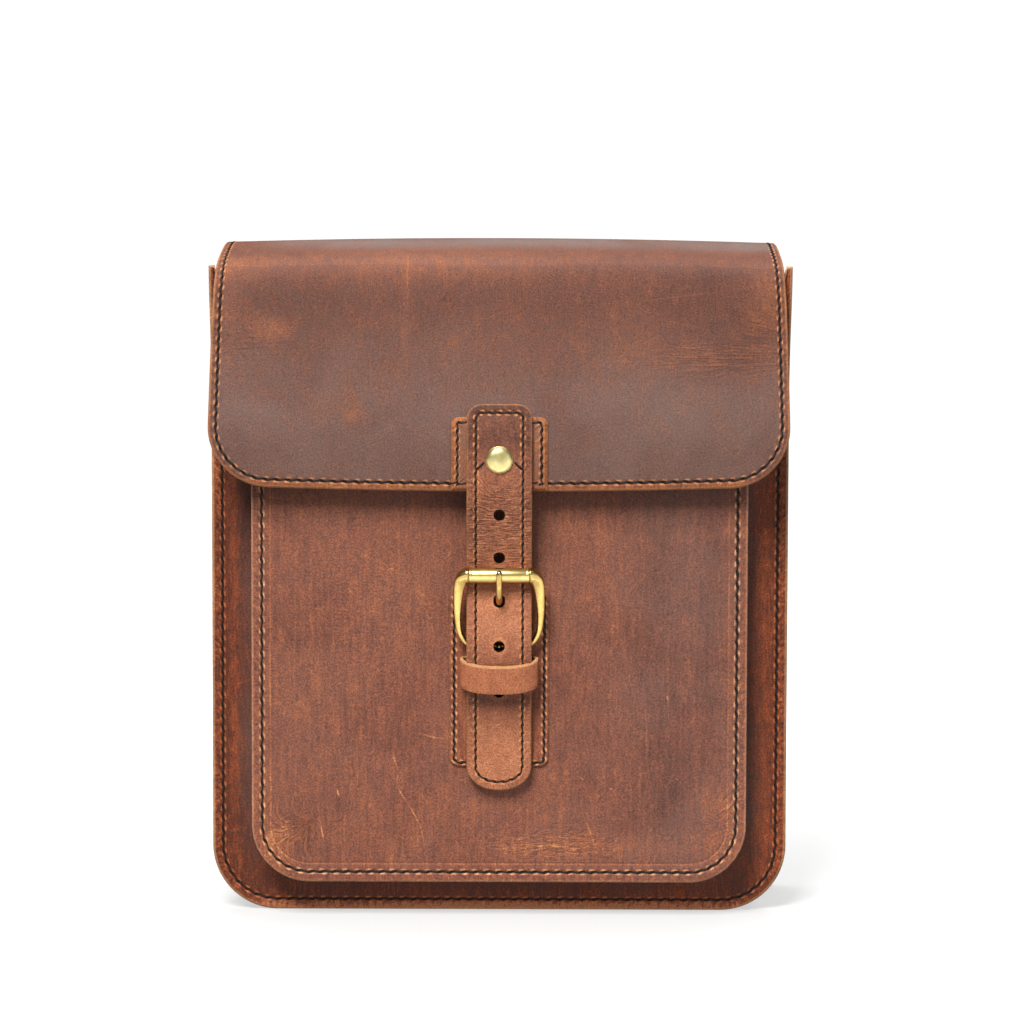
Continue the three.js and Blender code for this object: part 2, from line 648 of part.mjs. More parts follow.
// A closed loop round the strap, whose front hangs lower than its ends.
function keeperLoop() {
  const back = BASE_FACE - 2 * GAP - CHAPE_LEATHER;
  const loop = (inset) => {
    const half = KEEPER_HALF_WIDTH - inset;
    const corner = KEEPER_CORNER - inset / 2;
    const rear = back - inset;
    const front = back - KEEPER_DEPTH + inset;
    const path = new THREE.Path();
    path.absarc(half - corner, rear - corner, corner, 0, Math.PI / 2, false);
    path.absarc(-half + corner, rear - corner, corner, Math.PI / 2, Math.PI, false);
    path.absarc(-half + corner, front + corner, corner, Math.PI, 1.5 * Math.PI, false);
    path.absarc(half - corner, front + corner, corner, 1.5 * Math.PI, 2 * Math.PI, false);
    return path.getPoints(CORNER_STEPS);
  };
  const shape = new THREE.Shape(loop(0));
  shape.holes.push(new THREE.Path(loop(KEEPER_LEATHER).reverse()));
  const geometry = new THREE.ExtrudeGeometry(shape, { depth: KEEPER_HEIGHT, bevelEnabled: false });
  geometry.translate(0, 0, KEEPER_END_HEIGHT - KEEPER_HEIGHT / 2);
  const middle = back - KEEPER_DEPTH / 2;
  const position = geometry.getAttribute("position");
  for (let n = 0; n < position.count; n += 1) {
    const forward = Math.max(0, (middle - position.getY(n)) / (KEEPER_DEPTH / 2));
    position.setZ(n, position.getZ(n) - KEEPER_DROOP * forward);
  }
  return piece("keeper_loop", geometry, LEATHER.keeper);
}

const bag = new THREE.Group();
bag.add(frontPanel(), backPanel(), gusset(), pocketFront(), pocketGusset());
bag.add(flap(), flapPatch(), closureStrap(), rivet());
bag.add(buckleBase(), buckleChape(), buckleFrame(), buckleRoller(), buckleProng(), keeperLoop());

// The origin is under the middle of the bag's depth, on the surface that it stands on.
const depth = new THREE.Box3().setFromObject(bag);
bag.position.y = -(depth.min.y + depth.max.y) / 2;
const satchel = new THREE.Group();
satchel.add(bag);

export default satchel;
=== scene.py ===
"""A small satchel of waxed brown leather: body, front pocket, flap, strap and roller buckle.

Sizes are millimetres until a mesh is made. X runs across the bag to the viewer's right and Z up. Depths Y are
counted from the front panel's outer face and grow towards the back.
"""
import logging
from dataclasses import dataclass, field, replace
from enum import Enum
from functools import partial
from typing import Callable, Sequence

import bmesh
import bpy
import numpy as np
from mathutils import Matrix, Vector


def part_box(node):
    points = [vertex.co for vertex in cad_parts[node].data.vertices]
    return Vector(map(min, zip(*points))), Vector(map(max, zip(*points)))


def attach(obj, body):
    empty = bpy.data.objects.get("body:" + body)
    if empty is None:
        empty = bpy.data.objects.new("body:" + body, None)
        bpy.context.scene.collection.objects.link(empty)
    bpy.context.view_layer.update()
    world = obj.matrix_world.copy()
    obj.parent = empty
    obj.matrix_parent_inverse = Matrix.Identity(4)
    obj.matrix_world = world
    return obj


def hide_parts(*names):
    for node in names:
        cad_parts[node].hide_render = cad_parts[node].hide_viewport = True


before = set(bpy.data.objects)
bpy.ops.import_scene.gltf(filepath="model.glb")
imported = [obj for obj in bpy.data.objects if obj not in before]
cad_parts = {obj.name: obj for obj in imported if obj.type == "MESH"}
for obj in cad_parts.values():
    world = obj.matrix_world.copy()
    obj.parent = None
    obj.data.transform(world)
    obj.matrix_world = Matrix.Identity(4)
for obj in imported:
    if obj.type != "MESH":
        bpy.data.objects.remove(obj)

LOG = logging.getLogger("satchel")
Array = np.ndarray
Place = Callable[[Array, Array, Array], Array]
Spread = Callable[[Array, Array], Array]
Socket = bpy.types.NodeSocket
Material = bpy.types.Material

MM = 0.001
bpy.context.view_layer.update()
FRONT_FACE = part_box("front_panel")[0][1] / MM

PANEL_LEATHER = 2.2
GUSSET_LEATHER = 1.8
POCKET_GUSSET_LEATHER = 1.6
PATCH_LEATHER = 1.2
STRAP_LEATHER = 2.8
KEEPER_LEATHER = 1.4
GAP = 0.3
BODY_DEPTH = 60.0
POCKET_DEPTH = 18.0
SEAM_FLANGE = 7.5
# A distance from a seam at which no stitch leaves a mark.
NO_SEAM = 40.0
# Points closer than this are one point, and edges shorter than this go, in metres.
WELD = 2e-6
SLIVER = 1e-6


def smooth(low: float, high: float, value: Array) -> Array:
    """Smooth step from 0 at low to 1 at high.

    Args:
        low: Value where the step starts.
        high: Value where the step ends.
        value: Values to step.

    Returns:
        3t^2 - 2t^3 of the value's clipped share t of the way.
    """
    share = np.clip((np.asarray(value, float) - low) / (high - low), 0.0, 1.0)
    return share * share * (3.0 - 2.0 * share)


def bell(value: Array, middle: float, width: float) -> Array:
    """Bell curve exp(-((value - middle) / width)^2)."""
    return np.exp(-(((np.asarray(value, float) - middle) / width) ** 2))


def spline(rows: Sequence[tuple[float, float]], steps: int = 40) -> Array:
    """Smooth line through points.

    A uniform Catmull-Rom line: on each span a cubic whose end slopes are half the chord of the neighbours
    on both sides.

    Args:
        rows: Points in order.
        steps: Points on each span.

    Returns:
        Points of the line, one row each.
    """
    knots = np.asarray(rows, float)
    padded = np.vstack([knots[:1], knots, knots[-1:]])
    share = np.linspace(0.0, 1.0, steps, endpoint=False)[None, :, None]
    before, start, end, after = (padded[k : len(knots) - 1 + k, None, :] for k in range(4))
    slope_in, slope_out = (end - before) / 2.0, (after - start) / 2.0
    cubic = (2 * start - 2 * end + slope_in + slope_out) * share**3
    square = (-3 * start + 3 * end - 2 * slope_in - slope_out) * share**2
    line = cubic + square + slope_in * share + start
    return np.vstack([line.reshape(-1, knots.shape[1]), knots[-1:]])


def stacked(*parts: Array) -> Array:
    """Points from their coordinates: the parts, spread over each other, on a new last axis."""
    return np.stack(np.broadcast_arrays(*parts), axis=-1)


def closed(line: Array) -> Array:
    """A line with its first point again at its end."""
    return np.concatenate([line, line[:1]])


def lengths(line: Array) -> Array:
    """Length from the first point of a line to each of its points."""
    return np.concatenate([[0.0], np.cumsum(np.linalg.norm(np.diff(line, axis=0), axis=1))])


def circle(count: int) -> Array:
    """Angles of one full turn in equal steps."""
    return np.arange(count) * 2 * np.pi / count


def on_plane(face: float, way: float, u: Array, v: Array, w: Array) -> Array:
    """Carries flat points onto a plane.

    Args:
        face: Depth of the plane.
        way: +1 or -1, the direction along y that heights are counted in.
        u: Flat points across.
        v: Flat points along.
        w: Heights above the plane.

    Returns:
        Points in space.
    """
    return stacked(u, face + way * w, v)


@dataclass
class Bend:
    """A line in the (y, z) plane that leather is bent along.

    The side to the right of the line's direction counts as outside.
    """

    line: Array
    run: Array = field(init=False)
    outward: Array = field(init=False)

    def __post_init__(self) -> None:
        """Works out lengths along the line and unit normals to its right."""
        self.run = lengths(self.line)
        slope = np.gradient(self.line, self.run, axis=0)
        normal = np.stack([slope[:, 1], -slope[:, 0]], axis=1)
        self.outward = normal / np.linalg.norm(normal, axis=1, keepdims=True)

    @property
    def length(self) -> float:
        """Whole length of the line."""
        return float(self.run[-1])

    def at(self, run: Array, out: Array) -> tuple[Array, Array]:
        """Point at a length along the line, moved out along the normal.

        Args:
            run: Lengths along the line.
            out: Distances to the outside.

        Returns:
            Depths y and heights z.
        """
        y, z, ny, nz = (np.interp(run, self.run, part) for part in (*self.line.T, *self.outward.T))
        return y + ny * out, z + nz * out

    def place(self, u: Array, v: Array, w: Array) -> Array:
        """Carries flat points onto the bend, where v runs along its line and w is the height above it."""
        return stacked(u, *self.at(v, w))


@dataclass(frozen=True)
class Corner:
    """Half axes of a rounded corner: across the piece and along it."""

    across: float
    along: float


@dataclass(frozen=True)
class Cut:
    """The outline that a piece of leather was cut to: a rectangle with rounded corners, flat."""

    half_width: float
    bottom: float
    top: float
    lower: Corner
    upper: Corner
    step: float = 1.0
    corner_steps: int = 26

    @property
    def reach(self) -> float:
        """Distance from the edge to the piece's middle line."""
        return min(self.half_width, (self.top - self.bottom) / 2.0)

    def columns(self) -> tuple[int, int]:
        """Columns along one side and along one end."""
        tall, wide = self.top - self.bottom, 2 * self.half_width
        return max(4, int(tall / self.step)), max(4, int(wide / self.step))

    def ring(self, inset: Array) -> Array:
        """Closed lines that run round the piece at distances from its edge.

        Each is the outline shrunk by its inset: straight sides moved in and corner axes shortened by it.
        Columns run down the left side, along the bottom, up the right side and back along the top.

        Args:
            inset: Distances from the edge, one for each line.

        Returns:
            Flat points, rows by columns by (across, along).
        """
        d = np.asarray(inset, float)[:, None]
        half = np.maximum(self.half_width - d, 0.0)
        middle = (self.bottom + self.top) / 2.0
        low, high = np.minimum(self.bottom + d, middle), np.maximum(self.top - d, middle)
        lx = np.minimum(np.maximum(self.lower.across - d, 0.0), half)
        ly = np.minimum(np.maximum(self.lower.along - d, 0.0), (high - low) / 2.0)
        ux = np.minimum(np.maximum(self.upper.across - d, 0.0), half)
        uy = np.minimum(np.maximum(self.upper.along - d, 0.0), (high - low) / 2.0)
        side, end = (np.linspace(0.0, 1.0, count, endpoint=False)[None] for count in self.columns())
        turn = np.linspace(0.0, np.pi / 2, self.corner_steps, endpoint=False)[None]
        stretches = [
            (-half + 0 * side, (high - uy) + (low + ly - high + uy) * side),
            (-half + lx - lx * np.cos(turn), low + ly - ly * np.sin(turn)),
            (-half + lx + 2 * (half - lx) * end, low + 0 * end),
            (half - lx + lx * np.sin(turn), low + ly - ly * np.cos(turn)),
            (half + 0 * side, (low + ly) + (high - uy - low - ly) * side),
            (half - ux + ux * np.cos(turn), high - uy + uy * np.sin(turn)),
            (half - ux - 2 * (half - ux) * end, high + 0 * end),
            (-half + ux - ux * np.sin(turn), high - uy + uy * np.cos(turn)),
        ]
        across, along = (np.concatenate([s[k] for s in stretches], axis=1) for k in range(2))
        return stacked(across, along)

    def run(self, inset: float) -> Array:
        """Lengths round the line at an inset, one for each column and the whole length last."""
        return lengths(closed(self.ring(np.array([inset]))[0]))

    def three_sides(self, inset: float) -> float:
        """Length of the line at an inset from the left side's start to the right side's end."""
        side, end = self.columns()
        return float(self.run(inset)[2 * side + end + 2 * self.corner_steps])


class Course(Enum):
    """Which sides of a piece a row of stitches follows."""

    ROUND = "all round"
    THREE_SIDES = "two sides and the lower end"


@dataclass(frozen=True)
class Seam:
    """A row of saddle stitches: its inset from the edge, spacing, thread and course."""

    inset: float
    pitch: float
    thread: float = 1.0
    course: Course = Course.THREE_SIDES
    slant: float = 0.5
    groove: float = 0.32

    def length(self, cut: Cut) -> float:
        """Length of the row on a cut piece.

        Args:
            cut: The piece.

        Returns:
            Millimetres from the first stitch to the last.
        """
        if self.course is Course.THREE_SIDES:
            return cut.three_sides(self.inset)
        return float(cut.run(self.inset)[-1])

    def count(self, cut: Cut) -> int:
        """Number of stitches on a cut piece."""
        return max(1, round(self.length(cut) / self.pitch))


@dataclass(frozen=True)
class ToneSpot:
    """A soft spot of paler or darker tone on leather, mostly marks of the hide and on the front panel partly
    painted light and shade: where it is on the flat piece, its half sizes, and how much paler it is.
    """

    across: float
    along: float
    wide: float
    tall: float
    paler: float

    def share(self, u: Array, v: Array) -> Array:
        """Paleness at flat points: a bell across times a bell along."""
        return self.paler * bell(u, self.across, self.wide) * bell(v, self.along, self.tall)


def shares(tone_spots: Sequence[ToneSpot], u: Array, v: Array) -> Array:
    """Sum of some soft marks at flat points."""
    return sum((tone_spot.share(u, v) for tone_spot in tone_spots), np.zeros(np.shape(u)))


def linear(colour: str) -> tuple[float, float, float, float]:
    """Linear colour of an sRGB hex value.

    Args:
        colour: Six hex digits, with or without a leading #.

    Returns:
        Linear red, green and blue, and an alpha of 1.
    """
    share = np.array([int(colour.lstrip("#")[k : k + 2], 16) for k in (0, 2, 4)]) / 255.0
    value = np.where(share <= 0.04045, share / 12.92, ((share + 0.055) / 1.055) ** 2.4)
    return (*map(float, value), 1.0)


class Graph:
    """The node tree of one new material, or of the world."""

    def __init__(self, owner: bpy.types.ID) -> None:
        """Empties the owner's node tree.

        Args:
            owner: The material or world.
        """
        owner.use_nodes = True
        self.tree = owner.node_tree
        self.tree.nodes.clear()

    def add(
        self, kind: str, inputs: dict | Sequence = (), out: int | str = 0, **settings: object
    ) -> Socket | None:
        """Adds a node.

        Args:
            kind: Blender's name of the node type, without the ShaderNode in front.
            inputs: Values for sockets by name or number, or in their order. A socket as a value is linked.
            out: Name or number of the output that is wanted.
            settings: Attributes of the node.

        Returns:
            The wanted output, or nothing where the node has none.
        """
        node = self.tree.nodes.new("ShaderNode" + kind)
        for name, value in settings.items():
            setattr(node, name, value)
        for name, value in inputs.items() if isinstance(inputs, dict) else enumerate(inputs):
            if isinstance(value, Socket):
                self.tree.links.new(value, node.inputs[name])
            else:
                node.inputs[name].default_value = value
        return node.outputs[out] if node.outputs else None


def set_stops(ramp: Socket, stops: Sequence[tuple[float, tuple[float, float, float, float]]]) -> None:
    """Gives a colour ramp its stops.

    Args:
        ramp: The ramp node's output.
        stops: Position and linear colour of each stop.
    """
    elements = ramp.node.color_ramp.elements
    for _ in stops[2:]:
        elements.new(0.5)
    for element, (position, colour) in zip(elements, stops):
        element.position, element.color = position, colour


@dataclass(frozen=True)
class Stroke:
    """A thin mark in leather, such as a healed scratch: two ends on the flat piece, width and paleness."""

    start: tuple[float, float]
    end: tuple[float, float]
    wide: float = 0.7
    paler: float = 0.3

    def mapping(self, shift: float) -> dict[str, tuple[float, float, float]]:
        """Settings of a Mapping node that makes the mark's long ellipse a unit circle.

        Args:
            shift: Millimetres that the leather's sway moves every point.

        Returns:
            The node's Location, Rotation and Scale.
        """
        (x0, y0), (x1, y1) = self.start, self.end
        half = 0.5 * float(np.hypot(x1 - x0, y1 - y0)) + self.wide
        return {
            "Location": ((0.5 * (x0 + x1) + shift) * MM, (0.5 * (y0 + y1) + shift) * MM, 0.0),
            "Rotation": (0.0, 0.0, float(np.arctan2(y1 - y0, x1 - x0))),
            "Scale": (half * MM, 0.5 * self.wide * MM, 1.0),
        }


@dataclass(frozen=True)
class StitchSpot:
    """A soft spot at every stitch hole: its middle, half sizes, even core and strength.

    Lengths along the row are shares of a stitch, distances across it are millimetres, and the core is a share
    of the half sizes.
    """

    along: float
    across: float
    long: float
    wide: float
    core: float
    strength: float


# Bright lips round each hole, hide paled by the thread's pull and partly painted highlight; the hole itself
# is painted shade.
LIPS = (StitchSpot(-0.1, 0.82, 0.31, 0.54, 0.25, 1.0), StitchSpot(0.12, -0.8, 0.29, 0.52, 0.25, 0.95))
HOLE = StitchSpot(0.0, 0.0, 0.21, 0.66, 0.7, 0.97)


@dataclass(frozen=True)
class PullUpLeather:
    """Waxed pull-up leather: full-grain hide, drum-dyed and stuffed with wax.

    Where it is bent, pulled or rubbed the wax moves off and the hide shows paler and more orange, so tone
    runs from dark brown through the body colour to tan. The surface is satin with a fine grain, and cut edges
    are raw and pale. The grain's pores are drawn about twice as coarse as they are, so that they show at this
    distance.
    """

    name: str
    dark: str
    body: str
    warm: str
    pale: str
    raw: str = "#c08f60"
    flesh: str = "#7d5840"
    # Grey mix colour: dull wax, and painted sheen and shade where a piece's marks put it.
    bloom: str = "#836d67"
    cloud_mm: float = 34.0
    clouds: float = 0.3
    patch_mm: float = 7.0
    patches: float = 0.4
    fibre_mm: float = 0.9
    fibre_long: float = 8.0
    fibres: float = 0.5
    grain_mm: float = 0.6
    grain: float = 0.5
    crepe_mm: float = 0.85
    crepe: float = 0.0
    sway: float = 1.6
    roughness: float = 0.55
    specular: float = 0.3
    vein_mm: float = 6.5
    veins: float = 0.25
    # Lips round the holes, paled hide and partly painted highlight; along the row a dark line, partly the
    # thread in its groove and partly painted shade.
    halo: float = 0.85
    halo_colour: str = "#e39a63"
    groove: float = 0.75
    rim: float = 0.0
    ticks: float = 1.0
    level: float = 0.36
    speckle: float = 0.34
    seed: float = 0.0
    strokes: tuple[Stroke, ...] = ()

    def noises(self, g: Graph, bent: Socket, folded: Socket) -> dict[str, Socket]:
        """Adds the noises of the hide, each of a real size.

        Args:
            g: The material's graph.
            bent: Flat coordinates with the hide's sway in them.
            folded: Coordinates whose second part is constant along wrinkles.

        Returns:
            Each noise's value by its name.
        """
        found = {}
        start = (self.seed, self.seed * 1.7, self.seed)
        for key, size, stretch, detail, warp in (
            ("clouds", self.cloud_mm, (1.0, 1.0), 3.0, 0.4),
            ("patches", self.patch_mm, (1.0, 0.7), 6.0, 0.8),
            ("fibres", self.fibre_mm, (1.0, 1.0 / self.fibre_long), 4.0, 0.5),
            ("grain", self.grain_mm, (1.0, 1.0), 5.0, 0.0),
            ("crepe", self.crepe_mm, (0.22, 1.0), 3.0, 0.9),
        ):
            source = folded if key == "crepe" else bent
            chart = g.add("Mapping", {"Vector": source, "Location": start, "Scale": (*stretch, 1.0)})
            look = {"Scale": 1.0 / (size * MM), "Detail": detail, "Distortion": warp}
            found[key] = g.add("TexNoise", {"Vector": chart, **look})
        net = g.add("Mapping", {"Vector": bent, "Scale": (1.0, 0.55, 1.0)})
        found["veins"] = g.add(
            "TexVoronoi", {"Vector": net, "Scale": 1.0 / (self.vein_mm * MM)},
            feature="DISTANCE_TO_EDGE", voronoi_dimensions="2D",
        )
        return found

    def stitch_marks(self, g: Graph, tone: Socket) -> tuple[Socket, ...]:
        """Adds what sewing does to the hide.

        Round every hole two bright lips, one on each side, are hide paled where thread pulls it and partly a
        painted highlight on the raised lips. The hole between them is painted nearly black as its shade, the
        row lies in a shallow groove with a dark line of painted shade along it, and the strip outside it is
        pressed into ticks.

        Args:
            g: The material's graph.
            tone: The hide's tone so far.

        Returns:
            The new tone, the ticks' height, the share of light that the painted shade of groove and holes
            leaves, and the lips' share.
        """
        seam = g.add("UVMap", uv_map="seam")
        along = g.add("SeparateXYZ", (seam,))
        across = along.node.outputs["Y"]
        patchy = g.add("TexNoise", {"Vector": seam, "Scale": 0.55, "Detail": 2.0})
        amount = g.add("MapRange", (patchy, 0.3, 0.66, 0.3, 1.1))
        spots = []
        for spot, gain in zip((*LIPS, HOLE), (self.halo, self.halo, 1.0)):
            shifted = g.add("Math", (along, 0.5 - spot.along), operation="ADD")
            phase = g.add("Math", (shifted,), operation="FRACT")
            stitch = g.add("CombineXYZ", (phase, across))
            lobe = g.add(
                "Mapping",
                {"Vector": stitch, "Location": (0.5, spot.across, 0.0), "Scale": (spot.long, spot.wide, 1.0)},
                vector_type="TEXTURE",
            )
            away = g.add("VectorMath", (lobe,), "Value", operation="LENGTH")
            fade = (away, spot.core, 1.15, gain * spot.strength, 0.0)
            spots.append(g.add("MapRange", fade, interpolation_type="SMOOTHSTEP"))
        glow = g.add("Math", spots[:2], operation="MAXIMUM")
        halo = g.add("Math", (glow, amount), operation="MULTIPLY", use_clamp=True)
        hole = g.add("Math", (1.0, spots[2]), operation="SUBTRACT")
        chart = g.add("Mapping", {"Vector": seam, "Scale": (1.8, 0.2, 1.0)})
        tick = g.add("TexNoise", {"Vector": chart, "Scale": 1.7, "Detail": 4.0})
        outside = g.add("MapRange", (across, -0.4, -1.2, 0.0, 1.0))
        ticked = g.add("Math", (tick, self.ticks, self.rim - 0.5 * self.ticks), operation="MULTIPLY_ADD")
        tone = g.add("Math", (outside, ticked, tone), operation="MULTIPLY_ADD")
        away = g.add("Math", (across,), operation="ABSOLUTE")
        groove = g.add("MapRange", (away, 0.15, 0.55, self.groove, 1.0), interpolation_type="SMOOTHSTEP")
        groove = g.add("Math", (groove, hole), operation="MULTIPLY")
        return tone, g.add("Math", (outside, tick), operation="MULTIPLY"), groove, halo

    def material(self) -> Material:
        """Builds the material.

        Tone is the piece's own paleness plus clouds, patches, fibres and grain, then what scratches, a net of
        fine veins and sewing add. A ramp turns it to colour. A grey mix, partly dull wax and partly painted
        sheen and shade, raw edges and the flesh side are mixed in by the piece's own marks. A MapRange's
        numbers are its range from and its range to.

        Returns:
            The material.
        """
        made = bpy.data.materials.new(self.name)
        g = Graph(made)
        flat = g.add("UVMap", uv_map="cut")
        sway = g.add("TexNoise", {"Vector": flat, "Scale": 1.0 / (6.0 * MM), "Detail": 2.0}, "Color")
        bent = g.add("VectorMath", (sway, (self.sway * MM,) * 3, flat), operation="MULTIPLY_ADD")
        noises = self.noises(g, bent, g.add("UVMap", uv_map="fold"))
        pull, bloom, raw, flesh, wrinkle = (
            g.add("Attribute", out="Fac", attribute_name=key)
            for key in ("pull", "bloom", "raw", "flesh", "wrinkle")
        )
        weights = {key: getattr(self, key) for key in ("clouds", "patches", "fibres", "grain")}
        tone = g.add("Math", (pull, self.level - 0.5 * sum(weights.values())), operation="ADD")
        for key, weight in weights.items():
            tone = g.add("Math", (noises[key], weight, tone), operation="MULTIPLY_ADD")
        crepe = g.add("Math", (noises["crepe"], self.crepe, -0.5 * self.crepe), operation="MULTIPLY_ADD")
        crepe = g.add("Math", (crepe, wrinkle), operation="MULTIPLY")
        tone = g.add("Math", (crepe, tone), operation="ADD")
        for stroke in self.strokes:
            local = g.add(
                "Mapping", {"Vector": bent, **stroke.mapping(0.5 * self.sway)}, vector_type="TEXTURE"
            )
            away = g.add("VectorMath", (local,), "Value", operation="LENGTH")
            mark = g.add("MapRange", (away, 0.3, 1.0, stroke.paler, 0.0))
            tone = g.add("Math", (mark, tone), operation="ADD")
        vein = g.add("MapRange", (noises["veins"], 0.0, 0.07, 1.0, 0.0))
        some = g.add("MapRange", (noises["patches"], 0.45, 0.66))
        vein = g.add("Math", (vein, some), operation="MULTIPLY")
        tone = g.add("Math", (vein, self.veins, tone), operation="MULTIPLY_ADD")
        tone, ticks, groove, halo = self.stitch_marks(g, tone)
        colour = g.add("ValToRGB", (tone,))
        stops = ((0.0, self.dark), (0.36, self.body), (0.66, self.warm), (1.0, self.pale))
        set_stops(colour, [(position, linear(tint)) for position, tint in stops])
        worn_and_sheen = g.add("MapRange", (noises["patches"], 0.3, 0.7, 0.55))
        frayed = g.add("Math", (raw, worn_and_sheen), operation="MULTIPLY")
        calm = g.add("MapRange", (tone, 0.42, 0.9, 1.0, 0.0))
        drift = g.add("MapRange", (noises["clouds"], 0.36, 0.64, 0.55, 1.1))
        # Share of the grey mix, dull wax with painted sheen and shade, only where the tone is dark.
        waxed = g.add("Math", (bloom, calm), operation="MULTIPLY")
        waxed = g.add("Math", (waxed, drift), operation="MULTIPLY", use_clamp=True)
        tints = ((waxed, self.bloom), (halo, self.halo_colour), (frayed, self.raw), (flesh, self.flesh))
        for share, tint in tints:
            colour = g.add("Mix", {0: share, 6: colour, 7: linear(tint)}, 2, data_type="RGBA")
        light = (noises["grain"], 0.25, 0.75, 1.0 - self.speckle, 1.0 + self.speckle)
        speckle = g.add("MapRange", light, clamp=False)
        # Grain speckle, then the painted shade along the row and in the holes.
        for share in (speckle, groove):
            colour = g.add("VectorMath", (colour, share), operation="MULTIPLY")
        satin = (noises["patches"], 0.0, 1.0, self.roughness - 0.12, self.roughness + 0.16)
        gloss = g.add("MapRange", satin)
        height = g.add("Math", (noises["grain"], 0.5, ticks), operation="MULTIPLY_ADD")
        for part, weight in ((noises["patches"], 0.3), (noises["fibres"], 0.25), (crepe, 2.4), (vein, -0.5)):
            height = g.add("Math", (part, weight, height), operation="MULTIPLY_ADD")
        bump = g.add("Bump", {"Height": height, "Strength": 0.75, "Distance": 0.35 * MM})
        looks = {"Base Color": colour, "Roughness": gloss, "Normal": bump}
        looks |= {"IOR": 1.46, "Specular IOR Level": self.specular}
        g.add("OutputMaterial", {"Surface": g.add("BsdfPrincipled", looks)})
        return made


@dataclass(frozen=True)
class WaxedThread:
    """Black waxed polyester thread, twisted: near black and satin, its strands a fine slant relief."""

    name: str = "waxed_thread"
    colour: str = "#0a0706"
    # Colour of the middle: rubbed thread and painted sheen.
    worn_and_sheen: str = "#2b211c"
    strands: float = 3.0

    def material(self) -> Material:
        """Builds the material: strands as a wave along each stitch, near black at the ends as painted shade
        where they dive into the holes, greyer in the middle, partly rubbed and partly painted sheen.

        Returns:
            The material.
        """
        made = bpy.data.materials.new(self.name)
        g = Graph(made)
        twist = g.add("UVMap", uv_map="cut")
        wave = g.add(
            "TexWave", {"Vector": twist, "Scale": self.strands, "Distortion": 0.4, "Detail": 1.0}, "Fac",
            bands_direction="DIAGONAL",
        )
        along = g.add("SeparateXYZ", (twist,))
        inner = g.add("Math", (along, 0.5), operation="PINGPONG")
        # Near black at both ends, painted shade where the thread dives into its holes; greyer in the middle,
        # partly rubbed and partly painted sheen.
        rubbed = g.add("MapRange", (inner, 0.26, 0.42))
        strand = g.add("Math", (wave, 0.5, 0.5), operation="MULTIPLY_ADD")
        colour = g.add("ValToRGB", (g.add("Math", (rubbed, strand), operation="MULTIPLY"),))
        set_stops(colour, ((0.0, linear(self.colour)), (1.0, linear(self.worn_and_sheen))))
        bump = g.add("Bump", {"Height": wave, "Strength": 0.6, "Distance": 0.15 * MM})
        looks = {"Base Color": colour, "Roughness": 0.6, "Normal": bump, "Specular IOR Level": 0.25}
        g.add("OutputMaterial", {"Surface": g.add("BsdfPrincipled", looks)})
        return made


@dataclass(frozen=True)
class Brass:
    """Solid brass, cast and tumbled: warm yellow metal with faint handling marks that change its gloss."""

    name: str
    colour: str
    tarnish: str
    roughness: float
    spread: float
    worn_mm: float = 2.2
    relief: float = 0.02

    def material(self) -> Material:
        """Builds the material: a noise of the wear's size mixes tarnish in and changes roughness.

        Returns:
            The material.
        """
        made = bpy.data.materials.new(self.name)
        g = Graph(made)
        place = g.add("TexCoord", out="Object")
        wear = g.add("TexNoise", {"Vector": place, "Scale": 1.0 / (self.worn_mm * MM), "Detail": 4.0})
        colour = g.add("ValToRGB", (wear,))
        set_stops(colour, ((0.3, linear(self.tarnish)), (0.62, linear(self.colour))))
        dull, bright = self.roughness + self.spread, self.roughness - self.spread
        gloss = g.add("MapRange", (wear, 0.0, 1.0, dull, bright))
        bump = g.add("Bump", {"Height": wear, "Strength": 0.3, "Distance": self.relief * MM})
        looks = {"Base Color": colour, "Roughness": gloss, "Normal": bump, "Metallic": 1.0}
        g.add("OutputMaterial", {"Surface": g.add("BsdfPrincipled", looks)})
        return made


@dataclass(frozen=True)
class StudioBoard:
    """White painted studio board, matt, that glows as painted light: dimmer near the bag as a painted shade
    round it, pure white away from it.
    """

    name: str = "studio_board"
    colour: str = "#a9a9a8"
    near_m: float = 0.1
    far_m: float = 0.5
    near_glow: float = 0.56
    far_glow: float = 1.0

    def material(self) -> Material:
        """Builds the material.

        Returns:
            The material.
        """
        made = bpy.data.materials.new(self.name)
        g = Graph(made)
        place = g.add("TexCoord", out="Object")
        mark = g.add("TexNoise", {"Vector": place, "Scale": 6.0, "Detail": 2.0})
        gloss = g.add("MapRange", (mark, 0.0, 1.0, 0.75, 0.85))
        away = g.add("VectorMath", (place,), "Value", operation="LENGTH")
        # Painted light: the board glows, less near the bag, where this stands in for shade round it.
        fade = (away, self.near_m, self.far_m, self.near_glow, self.far_glow)
        glow = g.add("MapRange", fade, interpolation_type="SMOOTHSTEP")
        looks = {"Base Color": linear(self.colour), "Roughness": gloss}
        looks |= {"Emission Color": linear("#ffffff"), "Emission Strength": glow}
        g.add("OutputMaterial", {"Surface": g.add("BsdfPrincipled", looks)})
        return made


